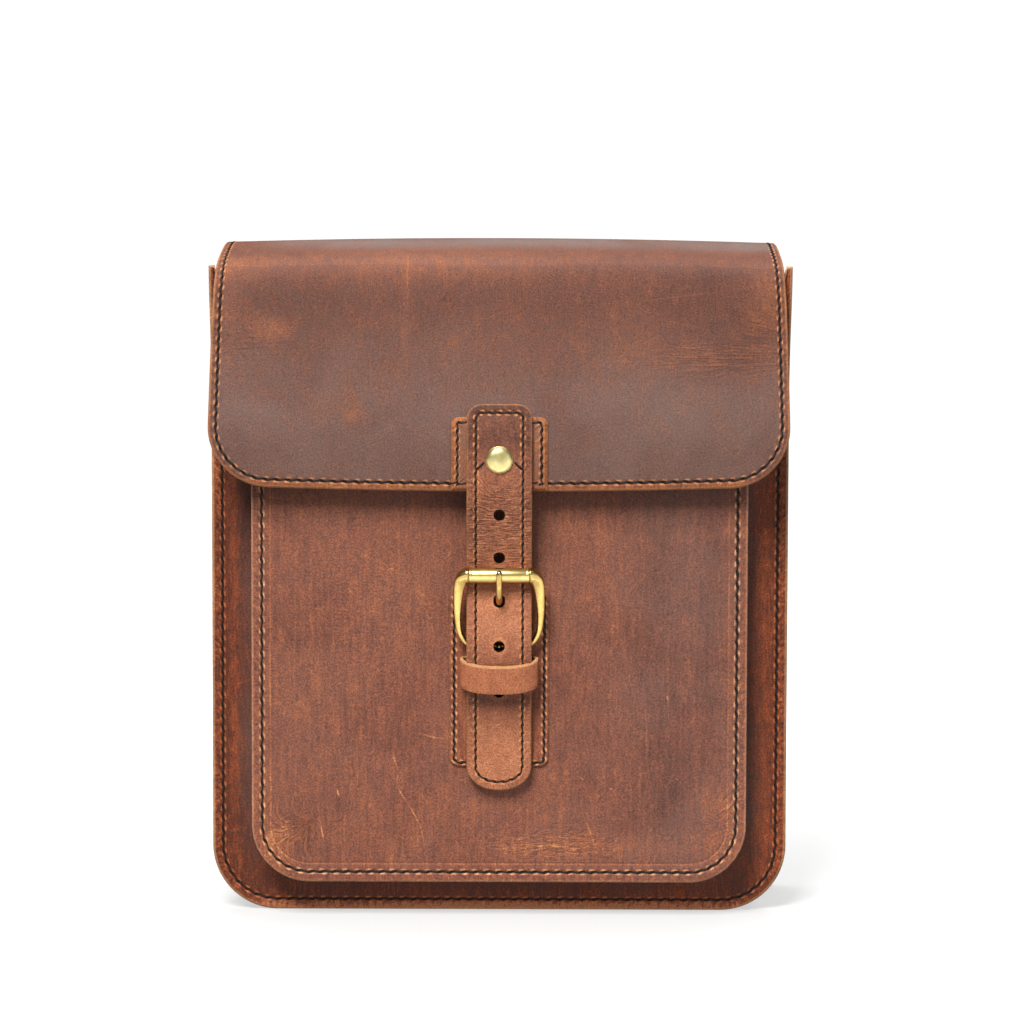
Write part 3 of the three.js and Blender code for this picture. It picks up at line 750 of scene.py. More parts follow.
POCKET_STROKES = (
    Stroke((-42.0, 66.0), (-39.6, 58.0), 0.9, 0.42),
    Stroke((-39.6, 58.0), (-40.0, 52.5), 0.9, 0.42),
    Stroke((-40.0, 52.5), (-35.6, 45.0), 1.0, 0.55),
    Stroke((-35.6, 45.0), (-30.8, 36.8), 1.0, 0.5),
    Stroke((-30.8, 36.8), (-29.0, 28.0), 0.8, 0.36),
    Stroke((-33.5, 73.0), (-20.0, 70.8), 0.9, 0.42),
    Stroke((-63.6, 50.6), (-63.2, 48.6), 1.0, 0.9),
    Stroke((-70.2, 38.0), (-69.0, 30.6), 0.9, 0.6),
    Stroke((59.6, 72.2), (60.0, 71.0), 0.8, 0.4),
    Stroke((33.0, 42.0), (38.0, 28.0), 0.9, 0.2),
    Stroke((54.0, 160.0), (56.5, 138.0), 0.7, 0.16),
    Stroke((56.5, 138.0), (56.0, 120.0), 0.7, 0.14),
    Stroke((66.0, 130.0), (66.4, 56.0), 1.0, 0.16),
    Stroke((57.6, 80.0), (58.2, 64.0), 0.8, 0.24),
    Stroke((45.0, 118.0), (43.0, 108.0), 0.8, 0.2),
    Stroke((36.0, 108.0), (31.0, 92.0), 0.8, 0.18),
    Stroke((65.6, 88.0), (65.8, 87.0), 0.8, 0.8),
    Stroke((31.8, 55.6), (32.6, 55.0), 0.8, 0.6),
    Stroke((43.4, 51.6), (44.0, 51.2), 0.7, 0.6),
    Stroke((69.4, 55.6), (70.0, 55.0), 0.7, 0.6),
)
FLAP_STROKES = (
    Stroke((-36.6, 100.0), (-36.0, 132.0), 1.2, 0.16),
    Stroke((-27.0, 154.0), (-20.0, 154.6), 0.8, 0.14),
    Stroke((52.0, 129.0), (92.0, 124.0), 0.8, 0.14),
    Stroke((60.0, 136.0), (86.0, 141.0), 0.8, 0.12),
    Stroke((54.0, 163.0), (66.0, 158.0), 0.6, 0.12),
)


@dataclass(frozen=True)
class Finishes:
    """The finishes of one satchel, each made once."""

    body: Material
    back: Material
    pocket: Material
    flap: Material
    strap: Material
    keeper: Material
    thread: Material
    polished: Material
    rolled: Material
    antique: Material
    board: Material

    @classmethod
    def make(cls) -> "Finishes":
        """Makes every finish.

        Returns:
            The finishes.
        """
        dark = PullUpLeather(
            "pull_up_leather_dark", "#2a140b", "#65301b", "#994b29", "#c97c52", raw="#d8a374", seed=0.31,
            fibres=0.7, speckle=0.4, ticks=1.4, rim=0.1, veins=0.15, bloom="#664f48", halo=0.8,
            halo_colour="#d47c46",
        )
        plain = replace(dark, name="pull_up_leather_back", fibres=0.28, clouds=0.5, patches=0.5, seed=0.44)
        red = PullUpLeather(
            "pull_up_leather_red", "#47241a", "#874d38", "#aa6442", "#d08c5c", raw="#d49c7c", seed=0.77,
            fibres=0.62, fibre_mm=1.3, fibre_long=13.0, speckle=0.42, ticks=1.1, bloom="#7a5d54", halo=1.0,
            halo_colour="#f0ae7b", crepe=1.7, crepe_mm=1.0, veins=0.16, strokes=POCKET_STROKES,
        )
        brown = PullUpLeather(
            "pull_up_leather_brown", "#3e2218", "#6c4030", "#955836", "#b87446", raw="#cb8b60", seed=0.13,
            fibres=0.25, speckle=0.32, bloom="#78645d", patches=0.34, clouds=0.24, ticks=1.1, vein_mm=4.5,
            veins=0.1, crepe=1.1, crepe_mm=0.9, specular=0.2, halo_colour="#dc935e", strokes=FLAP_STROKES,
        )
        light = PullUpLeather(
            "pull_up_leather_light", "#572f20", "#975b41", "#c17a55", "#dd9667", raw="#ab744b", seed=0.52,
            fibres=0.2, ticks=0.6, veins=0.1, halo_colour="#ee9a5a", rim=-0.08, crepe=1.5, crepe_mm=0.7,
        )
        tan = PullUpLeather(
            "pull_up_leather_tan", "#78432c", "#ad6746", "#c67d53", "#de9b68", raw="#d6a06c", seed=0.91,
            fibres=0.4, veins=0.08,
        )
        polished = Brass("polished_brass", "#c5a767", "#b59553", 0.25, 0.03)
        rolled = Brass("rolled_brass", "#e4cd87", "#d4ba70", 0.3, 0.03)
        antique = Brass("antique_brass", "#dfd095", "#c8b777", 0.36, 0.04, 2.4, 0.01)
        looks = (dark, plain, red, brown, light, tan, WaxedThread(), polished, rolled, antique, StudioBoard())
        return cls(*(look.material() for look in looks))


@dataclass
class Surface:
    """A surface on a grid: rows by columns of points, with maps and marks on the same grid.

    Maps have one more column than the points where the columns close, so that a map runs on over the join.
    """

    points: Array
    closed_rows: bool = False
    closed_columns: bool = False
    maps: dict[str, Array] = field(default_factory=dict)
    marks: dict[str, Array] = field(default_factory=dict)

    def faces(self) -> tuple[Array, Array]:
        """Four corners of every cell.

        Returns:
            Point numbers of each cell's corners, and the same corners' numbers in a map.
        """
        rows, columns = self.points.shape[:2]
        r = np.arange(rows if self.closed_rows else rows - 1)[:, None]
        c = np.arange(columns if self.closed_columns else columns - 1)[None, :]
        corners = ((r, c), (r, c + 1), (r + 1, c + 1), (r + 1, c))
        wide, tall = columns + self.closed_columns, rows + self.closed_rows
        cells = [(i % rows) * columns + j % columns for i, j in corners]
        spots = [np.minimum(i, tall - 1) * wide + j for i, j in corners]
        return tuple(stacked(*numbers).reshape(-1, 4) for numbers in (cells, spots))


def mesh_object(name: str, surfaces: Sequence[Surface], finish: Material) -> bpy.types.Object:
    """Makes one object of some surfaces.

    Faces are turned to the outside by the sign of each surface's volume, and points that fall together are
    merged.

    Args:
        name: The piece's name.
        surfaces: Surfaces in millimetres. Open ends are closed by the caller or fall together.
        finish: The piece's material.

    Returns:
        The object, in metres, at the origin.
    """
    points, cells, loops, start = [], [], {}, 0
    marks: dict[str, list[Array]] = {}
    names = {key for s in surfaces for key in s.maps}
    tags = {key for s in surfaces for key in s.marks}
    for surface in surfaces:
        flat = surface.points.reshape(-1, 3)
        face, spot = surface.faces()
        a, b, c, d = (flat[face[:, k]] for k in range(4))
        centre = flat.mean(axis=0)
        volume = np.einsum("ij,ij->i", a - centre, np.cross(b - centre, c - centre)).sum()
        volume += np.einsum("ij,ij->i", a - centre, np.cross(c - centre, d - centre)).sum()
        if volume < 0:
            face, spot = face[:, ::-1], spot[:, ::-1]
        points.append(flat)
        cells.append(face + start)
        for key in names:
            loops.setdefault(key, []).append(surface.maps[key].reshape(-1, 2)[spot.ravel()])
        for key in tags:
            blank = np.zeros(surface.points.shape[:2])
            marks.setdefault(key, []).append(surface.marks.get(key, blank).ravel())
        start += len(flat)
    place = np.vstack(points) + np.array([0.0, FRONT_FACE, 0.0])
    mesh = bpy.data.meshes.new(name)
    mesh.from_pydata((place * MM).tolist(), [], np.vstack(cells).tolist())
    for key, parts in loops.items():
        mesh.uv_layers.new(name=key).data.foreach_set("uv", np.vstack(parts).astype(np.float32).ravel())
    for key, parts in marks.items():
        values = np.concatenate(parts).astype(np.float32)
        mesh.attributes.new(key, "FLOAT", "POINT").data.foreach_set("value", values)
    work = bmesh.new()
    work.from_mesh(mesh)
    bmesh.ops.remove_doubles(work, verts=work.verts, dist=WELD)
    bmesh.ops.dissolve_degenerate(work, edges=work.edges, dist=SLIVER)
    work.to_mesh(mesh)
    work.free()
    mesh.polygons.foreach_set("use_smooth", np.ones(len(mesh.polygons), bool))
    mesh.materials.append(finish)
    made = bpy.data.objects.new(name, mesh)
    bpy.context.scene.collection.objects.link(made)
    return made


def dress(piece: bpy.types.Object, slot: str, *nodes: str) -> bpy.types.Object:
    """Joins a piece to the bag's body, hides the solids it stands for, and reports it.

    Args:
        piece: The piece.
        slot: Not used.
        nodes: Solids that the piece stands for.

    Returns:
        The piece.
    """
    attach(piece, "root")
    if nodes:
        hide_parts(*nodes)
    LOG.info("%s: %d faces", piece.name, len(piece.data.polygons))
    return piece


@dataclass
class LeatherPiece:
    """A cut piece of leather with a wall, an edge, rows of stitches and soft marks, laid on a shape.

    The place function carries flat points (across, along) and a height through the wall, 0 on the flesh side
    and thickness on the grain side, into space.
    """

    name: str
    cut: Cut
    thickness: float
    place: Place
    seam: Seam | None = None
    crease: float | None = None
    bevel: float = 0.8
    skive: float = 0.0
    skived_wall: float = 0.28
    pucker: float = 0.1
    crease_depth: float = 0.22
    ring_step: float = 3.0
    fine_step: float = 0.32
    tone_spots: Sequence[ToneSpot] = ()
    pull: Spread | None = None
    bloom: Spread | None = None
    wrinkle: Spread | None = None
    fold: Spread | None = None
    raise_thread: Spread | None = None

    def wall(self) -> tuple[Array, Array, Array, Array]:
        """Section of the wall from the flesh side's middle round the edge to the grain side's middle.

        Returns:
            Distances from the edge, heights through the wall, rawness of the edge, and fleshness, row by row.
        """
        t, reach = self.thickness, self.cut.reach
        b = min(self.bevel, 0.45 * t)
        rings = np.arange(reach, 6.0, -1.5 * self.ring_step)
        inner = np.concatenate([rings, [min(6.0, 0.7 * reach), 2.0, 0.4]])
        edge = np.array([
            (0.1, 0.1), (0.0, 0.4), (0.0, 0.55 * t), (0.0, t - b),
            (0.3 * b, t - 0.42 * b), (0.62 * b, t - 0.14 * b),
        ])
        band = (self.seam.inset if self.seam else 1.5) + 1.9
        if self.crease:
            band = max(band, self.crease + 0.9)
        band = min(band, 0.8 * reach)
        fine, coarse = np.arange(b, band, self.fine_step), np.arange(band, reach, self.ring_step)
        face = np.concatenate([fine, coarse, [reach]])
        distance = np.concatenate([inner, edge[:, 0], face])
        height = np.concatenate([0 * inner, edge[:, 1], 0 * face + t])
        raw = np.concatenate([0 * inner, [0.5, 1.0, 1.0, 1.0, 1.0, 0.8], np.where(face < b + 0.05, 0.3, 0.0)])
        flesh = np.concatenate([0 * inner + 1.0, 0 * edge[:, 0], 0 * face])
        return distance, height, raw, flesh

    def relief(self, distance: Array, turn: Array) -> Array:
        """Height of the grain side's relief.

        A groove under the stitches, a pucker between them, a pressed crease line and a skived edge.

        Args:
            distance: Distances from the edge.
            turn: Stitches counted along the row.

        Returns:
            Heights to add.
        """
        out = np.zeros(np.broadcast_shapes(distance.shape, turn.shape))
        if self.seam:
            out = out - self.seam.groove * bell(distance, self.seam.inset, 0.55)
            out = out + self.pucker * bell(distance, self.seam.inset, 1.5) * np.cos(2 * np.pi * turn)
        if self.crease:
            out = out - self.crease_depth * bell(distance, self.crease, 0.38)
        if self.skive:
            out = out - (self.thickness - self.skived_wall) * (1.0 - smooth(-0.3, self.skive, distance))
        return out

    def turns(self) -> Array:
        """Stitches counted along the row at each column, the join's far side last.

        Returns:
            Counts, where a piece with no row gets some of a usual length.
        """
        if not self.seam:
            return self.cut.run(2.0) / 4.0
        return self.cut.run(self.seam.inset) / self.seam.length(self.cut) * self.seam.count(self.cut)

    def surface(self) -> Surface:
        """The whole closed wall: rings of the cut at the section's distances, laid at its heights.

        Returns:
            The surface with its maps and marks.
        """
        section = self.wall()
        rings = self.cut.ring(section[0])
        distance, height, raw, flesh = (part[:, None] for part in section)
        turn = self.turns()[None, :]
        grain = flesh < 0.5
        pressed = grain if self.skive else grain & (raw < 0.7)
        lift = np.where(pressed, self.relief(distance, turn[:, :-1]), 0.0)
        wall = np.maximum(height + lift, np.where(grain, 0.05, 0.0))
        u, v = rings[..., 0], rings[..., 1]
        away = np.where(grain, distance - (self.seam.inset if self.seam else -NO_SEAM), NO_SEAM)
        last = np.inf
        if self.seam and self.seam.course is Course.THREE_SIDES:
            last = self.seam.count(self.cut) + 0.01
        pull = shares(self.tone_spots, u, v)
        if self.pull:
            pull = pull + self.pull(u, v)
        if self.crease:
            pull = pull + 0.36 * bell(distance, self.crease, 0.26)
            pull = pull + 0.05 * ((distance < self.crease) & grain)
        blank = np.zeros(u.shape)
        bloom, wrinkle = (part(u, v) if part else blank for part in (self.bloom, self.wrinkle))
        chart = np.concatenate([rings, rings[:, :1]], axis=1) * MM
        maps = {"cut": chart, "seam": stacked(turn, np.where(turn <= last, away, NO_SEAM))}
        if self.fold:
            maps["fold"] = self.fold(*(chart.transpose(2, 0, 1) / MM)) * MM
        return Surface(
            self.place(u, v, wall),
            closed_columns=True,
            maps=maps,
            marks={
                "pull": pull,
                "bloom": bloom * smooth(0.6, 3.0, distance),
                "wrinkle": wrinkle,
                "raw": (0.35 if self.skive else 1.0) * raw + blank,
                "flesh": flesh + blank,
            },
        )

    def make(self, finish: Material, slot: str, *nodes: str) -> bpy.types.Object:
        """Builds the piece and dresses it.

        Args:
            finish: Its material.
            slot: The record's material slot.
            nodes: Solids that it stands for.

        Returns:
            The piece.
        """
        return dress(mesh_object(self.name, [self.surface()], finish), slot, *nodes)

    def stitches(self, sides: int = 6) -> Surface:
        """Every stitch of the row as one short thread that dives into the leather at both ends.

        In seam coordinates a stitch runs from hole to hole, leans across the row by its slant, and stands up
        as part of a sine. Its section is a circle that thins to nothing at the ends. Lean and height change a
        little from stitch to stitch by a product of two sines. The flat points then go through place.

        Args:
            sides: Corners of the thread's section.

        Returns:
            All stitches as one surface of separate tubes.
        """
        seam, count = self.seam, self.seam.count(self.cut)
        share = np.array([0.0, 0.04, 0.25, 0.5, 0.75, 0.96, 1.0])
        thin = np.array([0.0, 0.92, 0.74, 0.5, 0.74, 0.92, 0.0])
        pitch = seam.length(self.cut) / count
        number = np.arange(count)[:, None]
        run = (number + 0.015 + 0.97 * share[None, :]) * pitch
        uneven = 0.5 + 0.5 * np.sin(number * 2.4) * np.sin(number * 0.83 + 1.0)
        line = closed(self.cut.ring(np.array([seam.inset]))[0])
        reach = self.cut.run(seam.inset)
        slope = np.gradient(line, axis=0)
        u, v = (np.interp(run, reach, line[:, k]) for k in range(2))
        du, dv = (np.interp(run, reach, slope[:, k]) for k in range(2))
        size = np.hypot(du, dv)
        inward = np.stack([-dv / size, du / size], axis=-1)
        angle = circle(sides)
        radius = 0.5 * seam.thread * thin[None, :, None]
        lean = seam.slant * (0.75 + 0.5 * uneven) * (0.5 - share)[None, :] * 2.0
        side = lean[..., None] + radius * np.cos(angle)
        up = self.thickness - seam.groove - 0.62 * seam.thread
        rise = (0.8 + 0.12 * uneven) * np.sin(np.pi * (0.12 + 0.76 * share))[None, :] ** 0.6
        up = up + seam.thread * rise[..., None] + radius * np.sin(angle)
        if self.raise_thread:
            up = up + self.raise_thread(u, v)[..., None]
        flat_u = u[..., None] + inward[..., 0:1] * side
        flat_v = v[..., None] + inward[..., 1:2] * side
        return tubes(self.place(flat_u, flat_v, np.broadcast_to(up, flat_u.shape)))


def spokes(u: Array, v: Array, hub: tuple[float, float], radius: float, heading: float) -> Array:
    """Second coordinate for wrinkles that turn into spokes round a hub.

    It is v far from the hub. Near the hub it becomes the angle about the hub times the radius, by a bell of
    the distance.

    Args:
        u: Flat points across.
        v: Flat points along.
        hub: The hub on the flat piece.
        radius: Distance from the hub where spokes are as dense as wrinkles elsewhere.
        heading: Angle in degrees where the count of angles starts, opposite to its join.

    Returns:
        The coordinate.
    """
    across, along = u - hub[0], v - hub[1]
    start = np.radians(heading)
    cosine, sine = np.cos(start), np.sin(start)
    angle = np.arctan2(along * cosine - across * sine, across * cosine + along * sine)
    return v + bell(np.hypot(across, along), 0.6 * radius, 1.3 * radius) * (hub[1] + radius * angle - v)


def tubes(points: Array) -> Surface:
    """Separate tubes as one surface.

    Args:
        points: Tubes by stations by sides by three. The first and last station of each fall together.

    Returns:
        A surface of all tubes, whose cells between one tube and the next have no size and are merged away.
    """
    count, stations, sides = points.shape[:3]
    rows = points.reshape(count * stations, sides, 3)
    length = np.tile(np.linspace(0.0, 1.0, stations), count)
    twist = np.linspace(0.0, 1.0, sides + 1)
    chart = stacked(length[:, None], twist[None, :])
    return Surface(rows, closed_columns=True, maps={"cut": chart})


def thread_object(name: str, parts: Sequence[Surface], finish: Material) -> bpy.types.Object:
    """One object of many separate stitches.

    Args:
        name: The piece's name.
        parts: Rows of stitches.
        finish: The thread's material.

    Returns:
        The object.
    """
    made = mesh_object(name, parts, finish)
    work = bmesh.new()
    work.from_mesh(made.data)
    long = [e for e in work.edges if not e.link_faces]
    bmesh.ops.delete(work, geom=long, context="EDGES")
    work.to_mesh(made.data)
    work.free()
    return made


def swept(section: Array, spine: Array, side: Array, lift: Array) -> Array:
    """Carries a section along a path.

    Args:
        section: Stations by corners by (side, lift), or one section for every station.
        spine: Points of the path.
        side: Unit directions of the section's first axis at each point.
        lift: Unit directions of the section's second axis at each point.

    Returns:
        Points, stations by corners by three: spine + side times the first + lift times the second.
    """
    across, up = section[..., 0:1], section[..., 1:2]
    return spine[:, None, :] + side[:, None, :] * across + lift[:, None, :] * up


def with_ends(points: Array) -> Array:
    """Closes a swept tube by repeating each end's middle as a last row that falls together.

    Args:
        points: Stations by corners by three.

    Returns:
        The same with one more station at each end.
    """
    first = np.broadcast_to(points[:1].mean(axis=1, keepdims=True), points[:1].shape)
    last = np.broadcast_to(points[-1:].mean(axis=1, keepdims=True), points[-1:].shape)
    return np.concatenate([first, points, last])


def punch_tool(height: float, radius: Array, stretch: float, depth: Array) -> Surface:
    """A punch along y: a circle of a radius at each depth, pulled apart up and down by a stretch.

    Args:
        height: Height of the punch's middle.
        radius: Radius at each depth.
        stretch: Half the distance between the two half circles.
        depth: Depths y of its sections.

    Returns:
        The closed tool.
    """
    turn = circle(24) + np.pi / 24
    x = radius[:, None] * np.cos(turn)
    z = height + radius[:, None] * np.sin(turn) + np.sign(np.sin(turn)) * stretch
    return Surface(with_ends(stacked(x, depth[:, None], z)), closed_columns=True)


def punch(piece: bpy.types.Object, tools: Sequence[Surface]) -> None:
    """Punches holes into a piece and keeps the punched mesh.

    Args:
        piece: The piece.
        tools: Closed tools, cut away from it.
    """
    tool = mesh_object("punch", tools, piece.data.materials[0])
    modifier = piece.modifiers.new("holes", "BOOLEAN")
    modifier.object, modifier.operation, modifier.solver = tool, "DIFFERENCE", "EXACT"
    graph = bpy.context.evaluated_depsgraph_get()
    whole = piece.evaluated_get(graph)
    punched = bpy.data.meshes.new_from_object(whole, preserve_all_data_layers=True, depsgraph=graph)
    piece.modifiers.clear()
    piece.data = punched
    punched.name = piece.name
    bpy.data.objects.remove(tool)


@dataclass
class Body:
    """Front panel, back panel and the gusset between them."""

    half_width: float = 114.0
    top: float = 249.0
    ear_top: float = 256.0
    ear_inner: float = 111.0
    ear_edge: float = 111.6
    ear_blend: float = 20.0
    splay: float = 1.0
    splay_from: float = 190.0
    corner: float = 26.0
    bevel: float = 1.0
    back_swell: float = 2.4
    swell_across: tuple[float, float] = (20.0, 104.0)
    swell_foot: tuple[float, float] = (8.0, 80.0)
    swell_head: tuple[float, float] = (130.0, 205.0)
    gusset_bend: float = 4.0
    gusset_sag: float = 2.5
    seam: Seam = Seam(inset=4.2, pitch=4.5)

    def front(self) -> LeatherPiece:
        """The front panel: flat, splayed a little at the top, its top edge low except at the two ears.

        Returns:
            The piece.
        """
        dip = self.ear_top - self.top

        def place(u: Array, v: Array, w: Array) -> Array:
            """Splays the panel towards its top and draws its top edge down between the ears.

            Args:
                u: Flat points across.
                v: Flat points along.
                w: Heights through the wall.

            Returns:
                Points in space.
            """
            high = smooth(self.splay_from, self.ear_top, v)
            x = u * (1.0 + self.splay / self.half_width * high**2)
            low = dip * (1.0 - smooth(self.ear_inner, self.ear_edge, np.abs(u)))
            z = v - low * smooth(self.top - self.ear_blend, self.ear_top, v)
            return stacked(x, PANEL_LEATHER - w, z)

        def bloom(u: Array, v: Array) -> Array:
            """Grey mix near the pocket's sides, partly dull wax and partly painted shade where the pocket
            shades the panel, and greyer along the lower edge.
            """
            beside = (1.0 - smooth(98.0, 107.0, np.abs(u))) * smooth(12.0, 40.0, v)
            return 0.6 * beside + 0.7 * (1.0 - smooth(2.0, 5.0, v))

        # Darker along the strip under the pocket: painted shade. Paler along the lower edge and on the strip
        # right of the pocket: painted light on strips that the pocket shades.
        tone_spots = (
            ToneSpot(0.0, 11.0, 120.0, 4.0, -0.06), ToneSpot(0.0, 1.2, 120.0, 2.6, 0.64),
            ToneSpot(104.0, 110.0, 5.0, 120.0, 0.12), ToneSpot(-104.5, 120.0, 1.4, 90.0, 0.2),
            ToneSpot(103.5, 130.0, 1.6, 80.0, 0.24),
        )
        cut = Cut(self.half_width, 0.0, self.ear_top, Corner(self.corner, self.corner), Corner(0.4, 0.4))
        return LeatherPiece(
            "front_panel_leather", cut, PANEL_LEATHER, place, self.seam, bevel=self.bevel, bloom=bloom,
            tone_spots=tone_spots,
        )

    def back(self) -> LeatherPiece:
        """The back panel: it swells a little between its seams, below the sewn flap.

        Returns:
            The piece.
        """

        def place(u: Array, v: Array, w: Array) -> Array:
            """Swells the panel outward in its lower middle.

            Args:
                u: Flat points across.
                v: Flat points along.
                w: Heights through the wall.

            Returns:
                Points in space.
            """
            across = 1.0 - smooth(*self.swell_across, np.abs(u))
            swell = across * smooth(*self.swell_foot, v) * (1.0 - smooth(*self.swell_head, v))
            return stacked(u, BODY_DEPTH - PANEL_LEATHER + w + self.back_swell * swell, v)

        cut = Cut(self.half_width, 0.0, self.top, Corner(self.corner, self.corner), Corner(0.9, 0.9))
        return LeatherPiece("back_panel_leather", cut, PANEL_LEATHER, place, self.seam, bevel=self.bevel)

    def gusset(self) -> Surface:
        """The gusset: a channel with its flanges turned out and sewn tight, swept round three sides.

        Returns:
            The swept strip.
        """
        front, back = PANEL_LEATHER, BODY_DEPTH - PANEL_LEATHER
        corners = [(0.0, front), (-SEAM_FLANGE, front), (-SEAM_FLANGE - self.gusset_sag, (front + back) / 2)]
        corners += [(-SEAM_FLANGE, back), (0.0, back)]
        section = channel(corners, self.gusset_bend, GUSSET_LEATHER)
        return around(section, self.half_width, 0.0, self.top, self.corner)

    def inner_row(self, face: float, way: float) -> Surface:
        """The same stitches where they come out on a flange of the gusset.

        Args:
            face: Depth of the flange's free face.
            way: +1 or -1, the direction that the face looks along y.

        Returns:
            The row of stitches.
        """
        place = partial(on_plane, face - way * PANEL_LEATHER, way)
        return replace(self.back(), place=place).stitches()

    def build(self, finishes: Finishes) -> None:
        """Builds and dresses the body.

        Args:
            finishes: The satchel's finishes.
        """
        front, back = self.front(), self.back()
        made = front.make(finishes.body, "body_leather", "front_panel")
        made = back.make(finishes.back, "body_leather", "back_panel")
        made = dress(mesh_object("gusset_leather", [self.gusset()], finishes.body), "body_leather", "gusset")
        inner = PANEL_LEATHER + GUSSET_LEATHER
        flanges = [self.inner_row(inner, 1.0), self.inner_row(BODY_DEPTH - inner, -1.0)]
        rows = [front.stitches(), back.stitches(), *flanges]
        dress(thread_object("body_thread", rows, finishes.thread), "body_leather")


def channel(corners: Sequence[tuple[float, float]], bend: float, thickness: float) -> Array:
    """Closed outline of a bent strip's section.

    Each inner corner becomes a parabola that reaches bend along both sides. The far face is the line moved to
    its right by the thickness, and both cut edges are rounded by a half circle.

    Args:
        corners: Corners of the near face as (outward, y).
        bend: Reach of each rounded corner.
        thickness: The leather's thickness.

    Returns:
        Points of the closed section.
    """
    knots = np.asarray(corners, float)
    share = np.linspace(0.0, 1.0, 9)[:, None]
    line = [knots[:1]]
    for k in range(1, len(knots) - 1):
        before, after = (knots[k + s] - knots[k] for s in (-1, 1))
        a = knots[k] + before / np.linalg.norm(before) * bend
        b = knots[k] + after / np.linalg.norm(after) * bend
        line.append((1 - share) ** 2 * a + 2 * share * (1 - share) * knots[k] + share**2 * b)
    near = np.vstack([*line, knots[-1:]])
    step = np.gradient(near, axis=0)
    step = step / np.linalg.norm(step, axis=1, keepdims=True)
    right = np.stack([step[:, 1], -step[:, 0]], axis=1)
    far = near + right * thickness
    turn = np.linspace(0.0, np.pi, 7)[1:-1, None]
    half = 0.5 * thickness
    tip = (near[-1] + far[-1]) / 2 - step[-1] * half
    tail = (near[0] + far[0]) / 2 + step[0] * half
    end = tip - right[-1] * half * np.cos(turn) + step[-1] * half * np.sin(turn)
    start = tail + right[0] * half * np.cos(turn) - step[0] * half * np.sin(turn)
    near[0], far[0] = near[0] + step[0] * half, far[0] + step[0] * half
    near[-1], far[-1] = near[-1] - step[-1] * half, far[-1] - step[-1] * half
    return np.vstack([near, end, far[::-1], start])


def around(section: Array, half_width: float, bottom: float, top: float, corner: float) -> Surface:
    """Sweeps a closed section round the left side, lower edge and right side of a panel.

    Args:
        section: Closed section as (outward, y).
        half_width: Half the panel's width.
        bottom: Height of its lower edge.
        top: Height of its upper edge.
        corner: Radius of its lower corners.

    Returns:
        The swept surface with closed ends.
    """
    turn = np.linspace(0.0, np.pi / 2, 30)
    side = np.linspace(top, bottom + corner, 50, endpoint=False)
    floor = np.linspace(-half_width + corner, half_width - corner, 40)[1:-1]
    left = np.stack([0 * side - half_width, side, 0 * side - 1.0, 0 * side], axis=1)
    bow = np.stack([-np.cos(turn), -np.sin(turn)], axis=1)
    low_left = np.hstack([bow * corner + [-half_width + corner, bottom + corner], bow])
    under = np.stack([floor, 0 * floor + bottom, 0 * floor, 0 * floor - 1.0], axis=1)
    mirrored = [-1, 1, -1, 1]
    path = np.vstack([left, low_left, under, low_left[::-1] * mirrored, left[::-1] * mirrored])
    spine = stacked(path[:, 0], 0.0, path[:, 1])
    outward = stacked(path[:, 2], 0.0, path[:, 3])
    depth = np.zeros_like(spine) + [0.0, 1.0, 0.0]
    points = with_ends(swept(section[None], spine, outward, depth))
    run = lengths(spine)
    run = np.concatenate([run[:1], run, run[-1:]])
    chart = stacked(lengths(closed(section))[None, :], run[:, None]) * MM
    maps = {"cut": chart, "seam": np.full(chart.shape, NO_SEAM)}
    raw = np.broadcast_to(bell(section[:, 0], 0.0, 0.7), points.shape[:2])
    return Surface(points, closed_columns=True, maps=maps, marks={"raw": raw})


POCKET_BLOTS = (
    ToneSpot(-86.0, 30.0, 7.0, 9.0, 0.22), ToneSpot(86.0, 30.0, 7.0, 9.0, 0.2), ToneSpot(30.0, 28.0, 34.0, 4.0, 0.28),
    ToneSpot(85.0, 46.0, 8.0, 7.0, 0.3), ToneSpot(68.0, 50.0, 9.0, 16.0, -0.16), ToneSpot(-40.0, 140.0, 34.0, 50.0, 0.07),
    ToneSpot(62.0, 120.0, 9.0, 70.0, -0.14), ToneSpot(82.0, 110.0, 5.0, 60.0, -0.16),
    ToneSpot(-20.0, 40.0, 60.0, 20.0, 0.05), ToneSpot(40.0, 150.0, 14.0, 40.0, 0.08),
)
POCKET_WRINKLES = (
    ToneSpot(-84.0, 33.0, 11.0, 13.0, 1.0), ToneSpot(86.0, 33.0, 7.0, 9.0, 0.4), ToneSpot(90.0, 47.0, 7.0, 6.0, 0.9),
    ToneSpot(22.0, 29.0, 25.0, 6.0, 1.0), ToneSpot(-55.0, 120.0, 24.0, 50.0, 0.25),
    ToneSpot(-93.0, 120.0, 5.0, 90.0, 0.3),
)


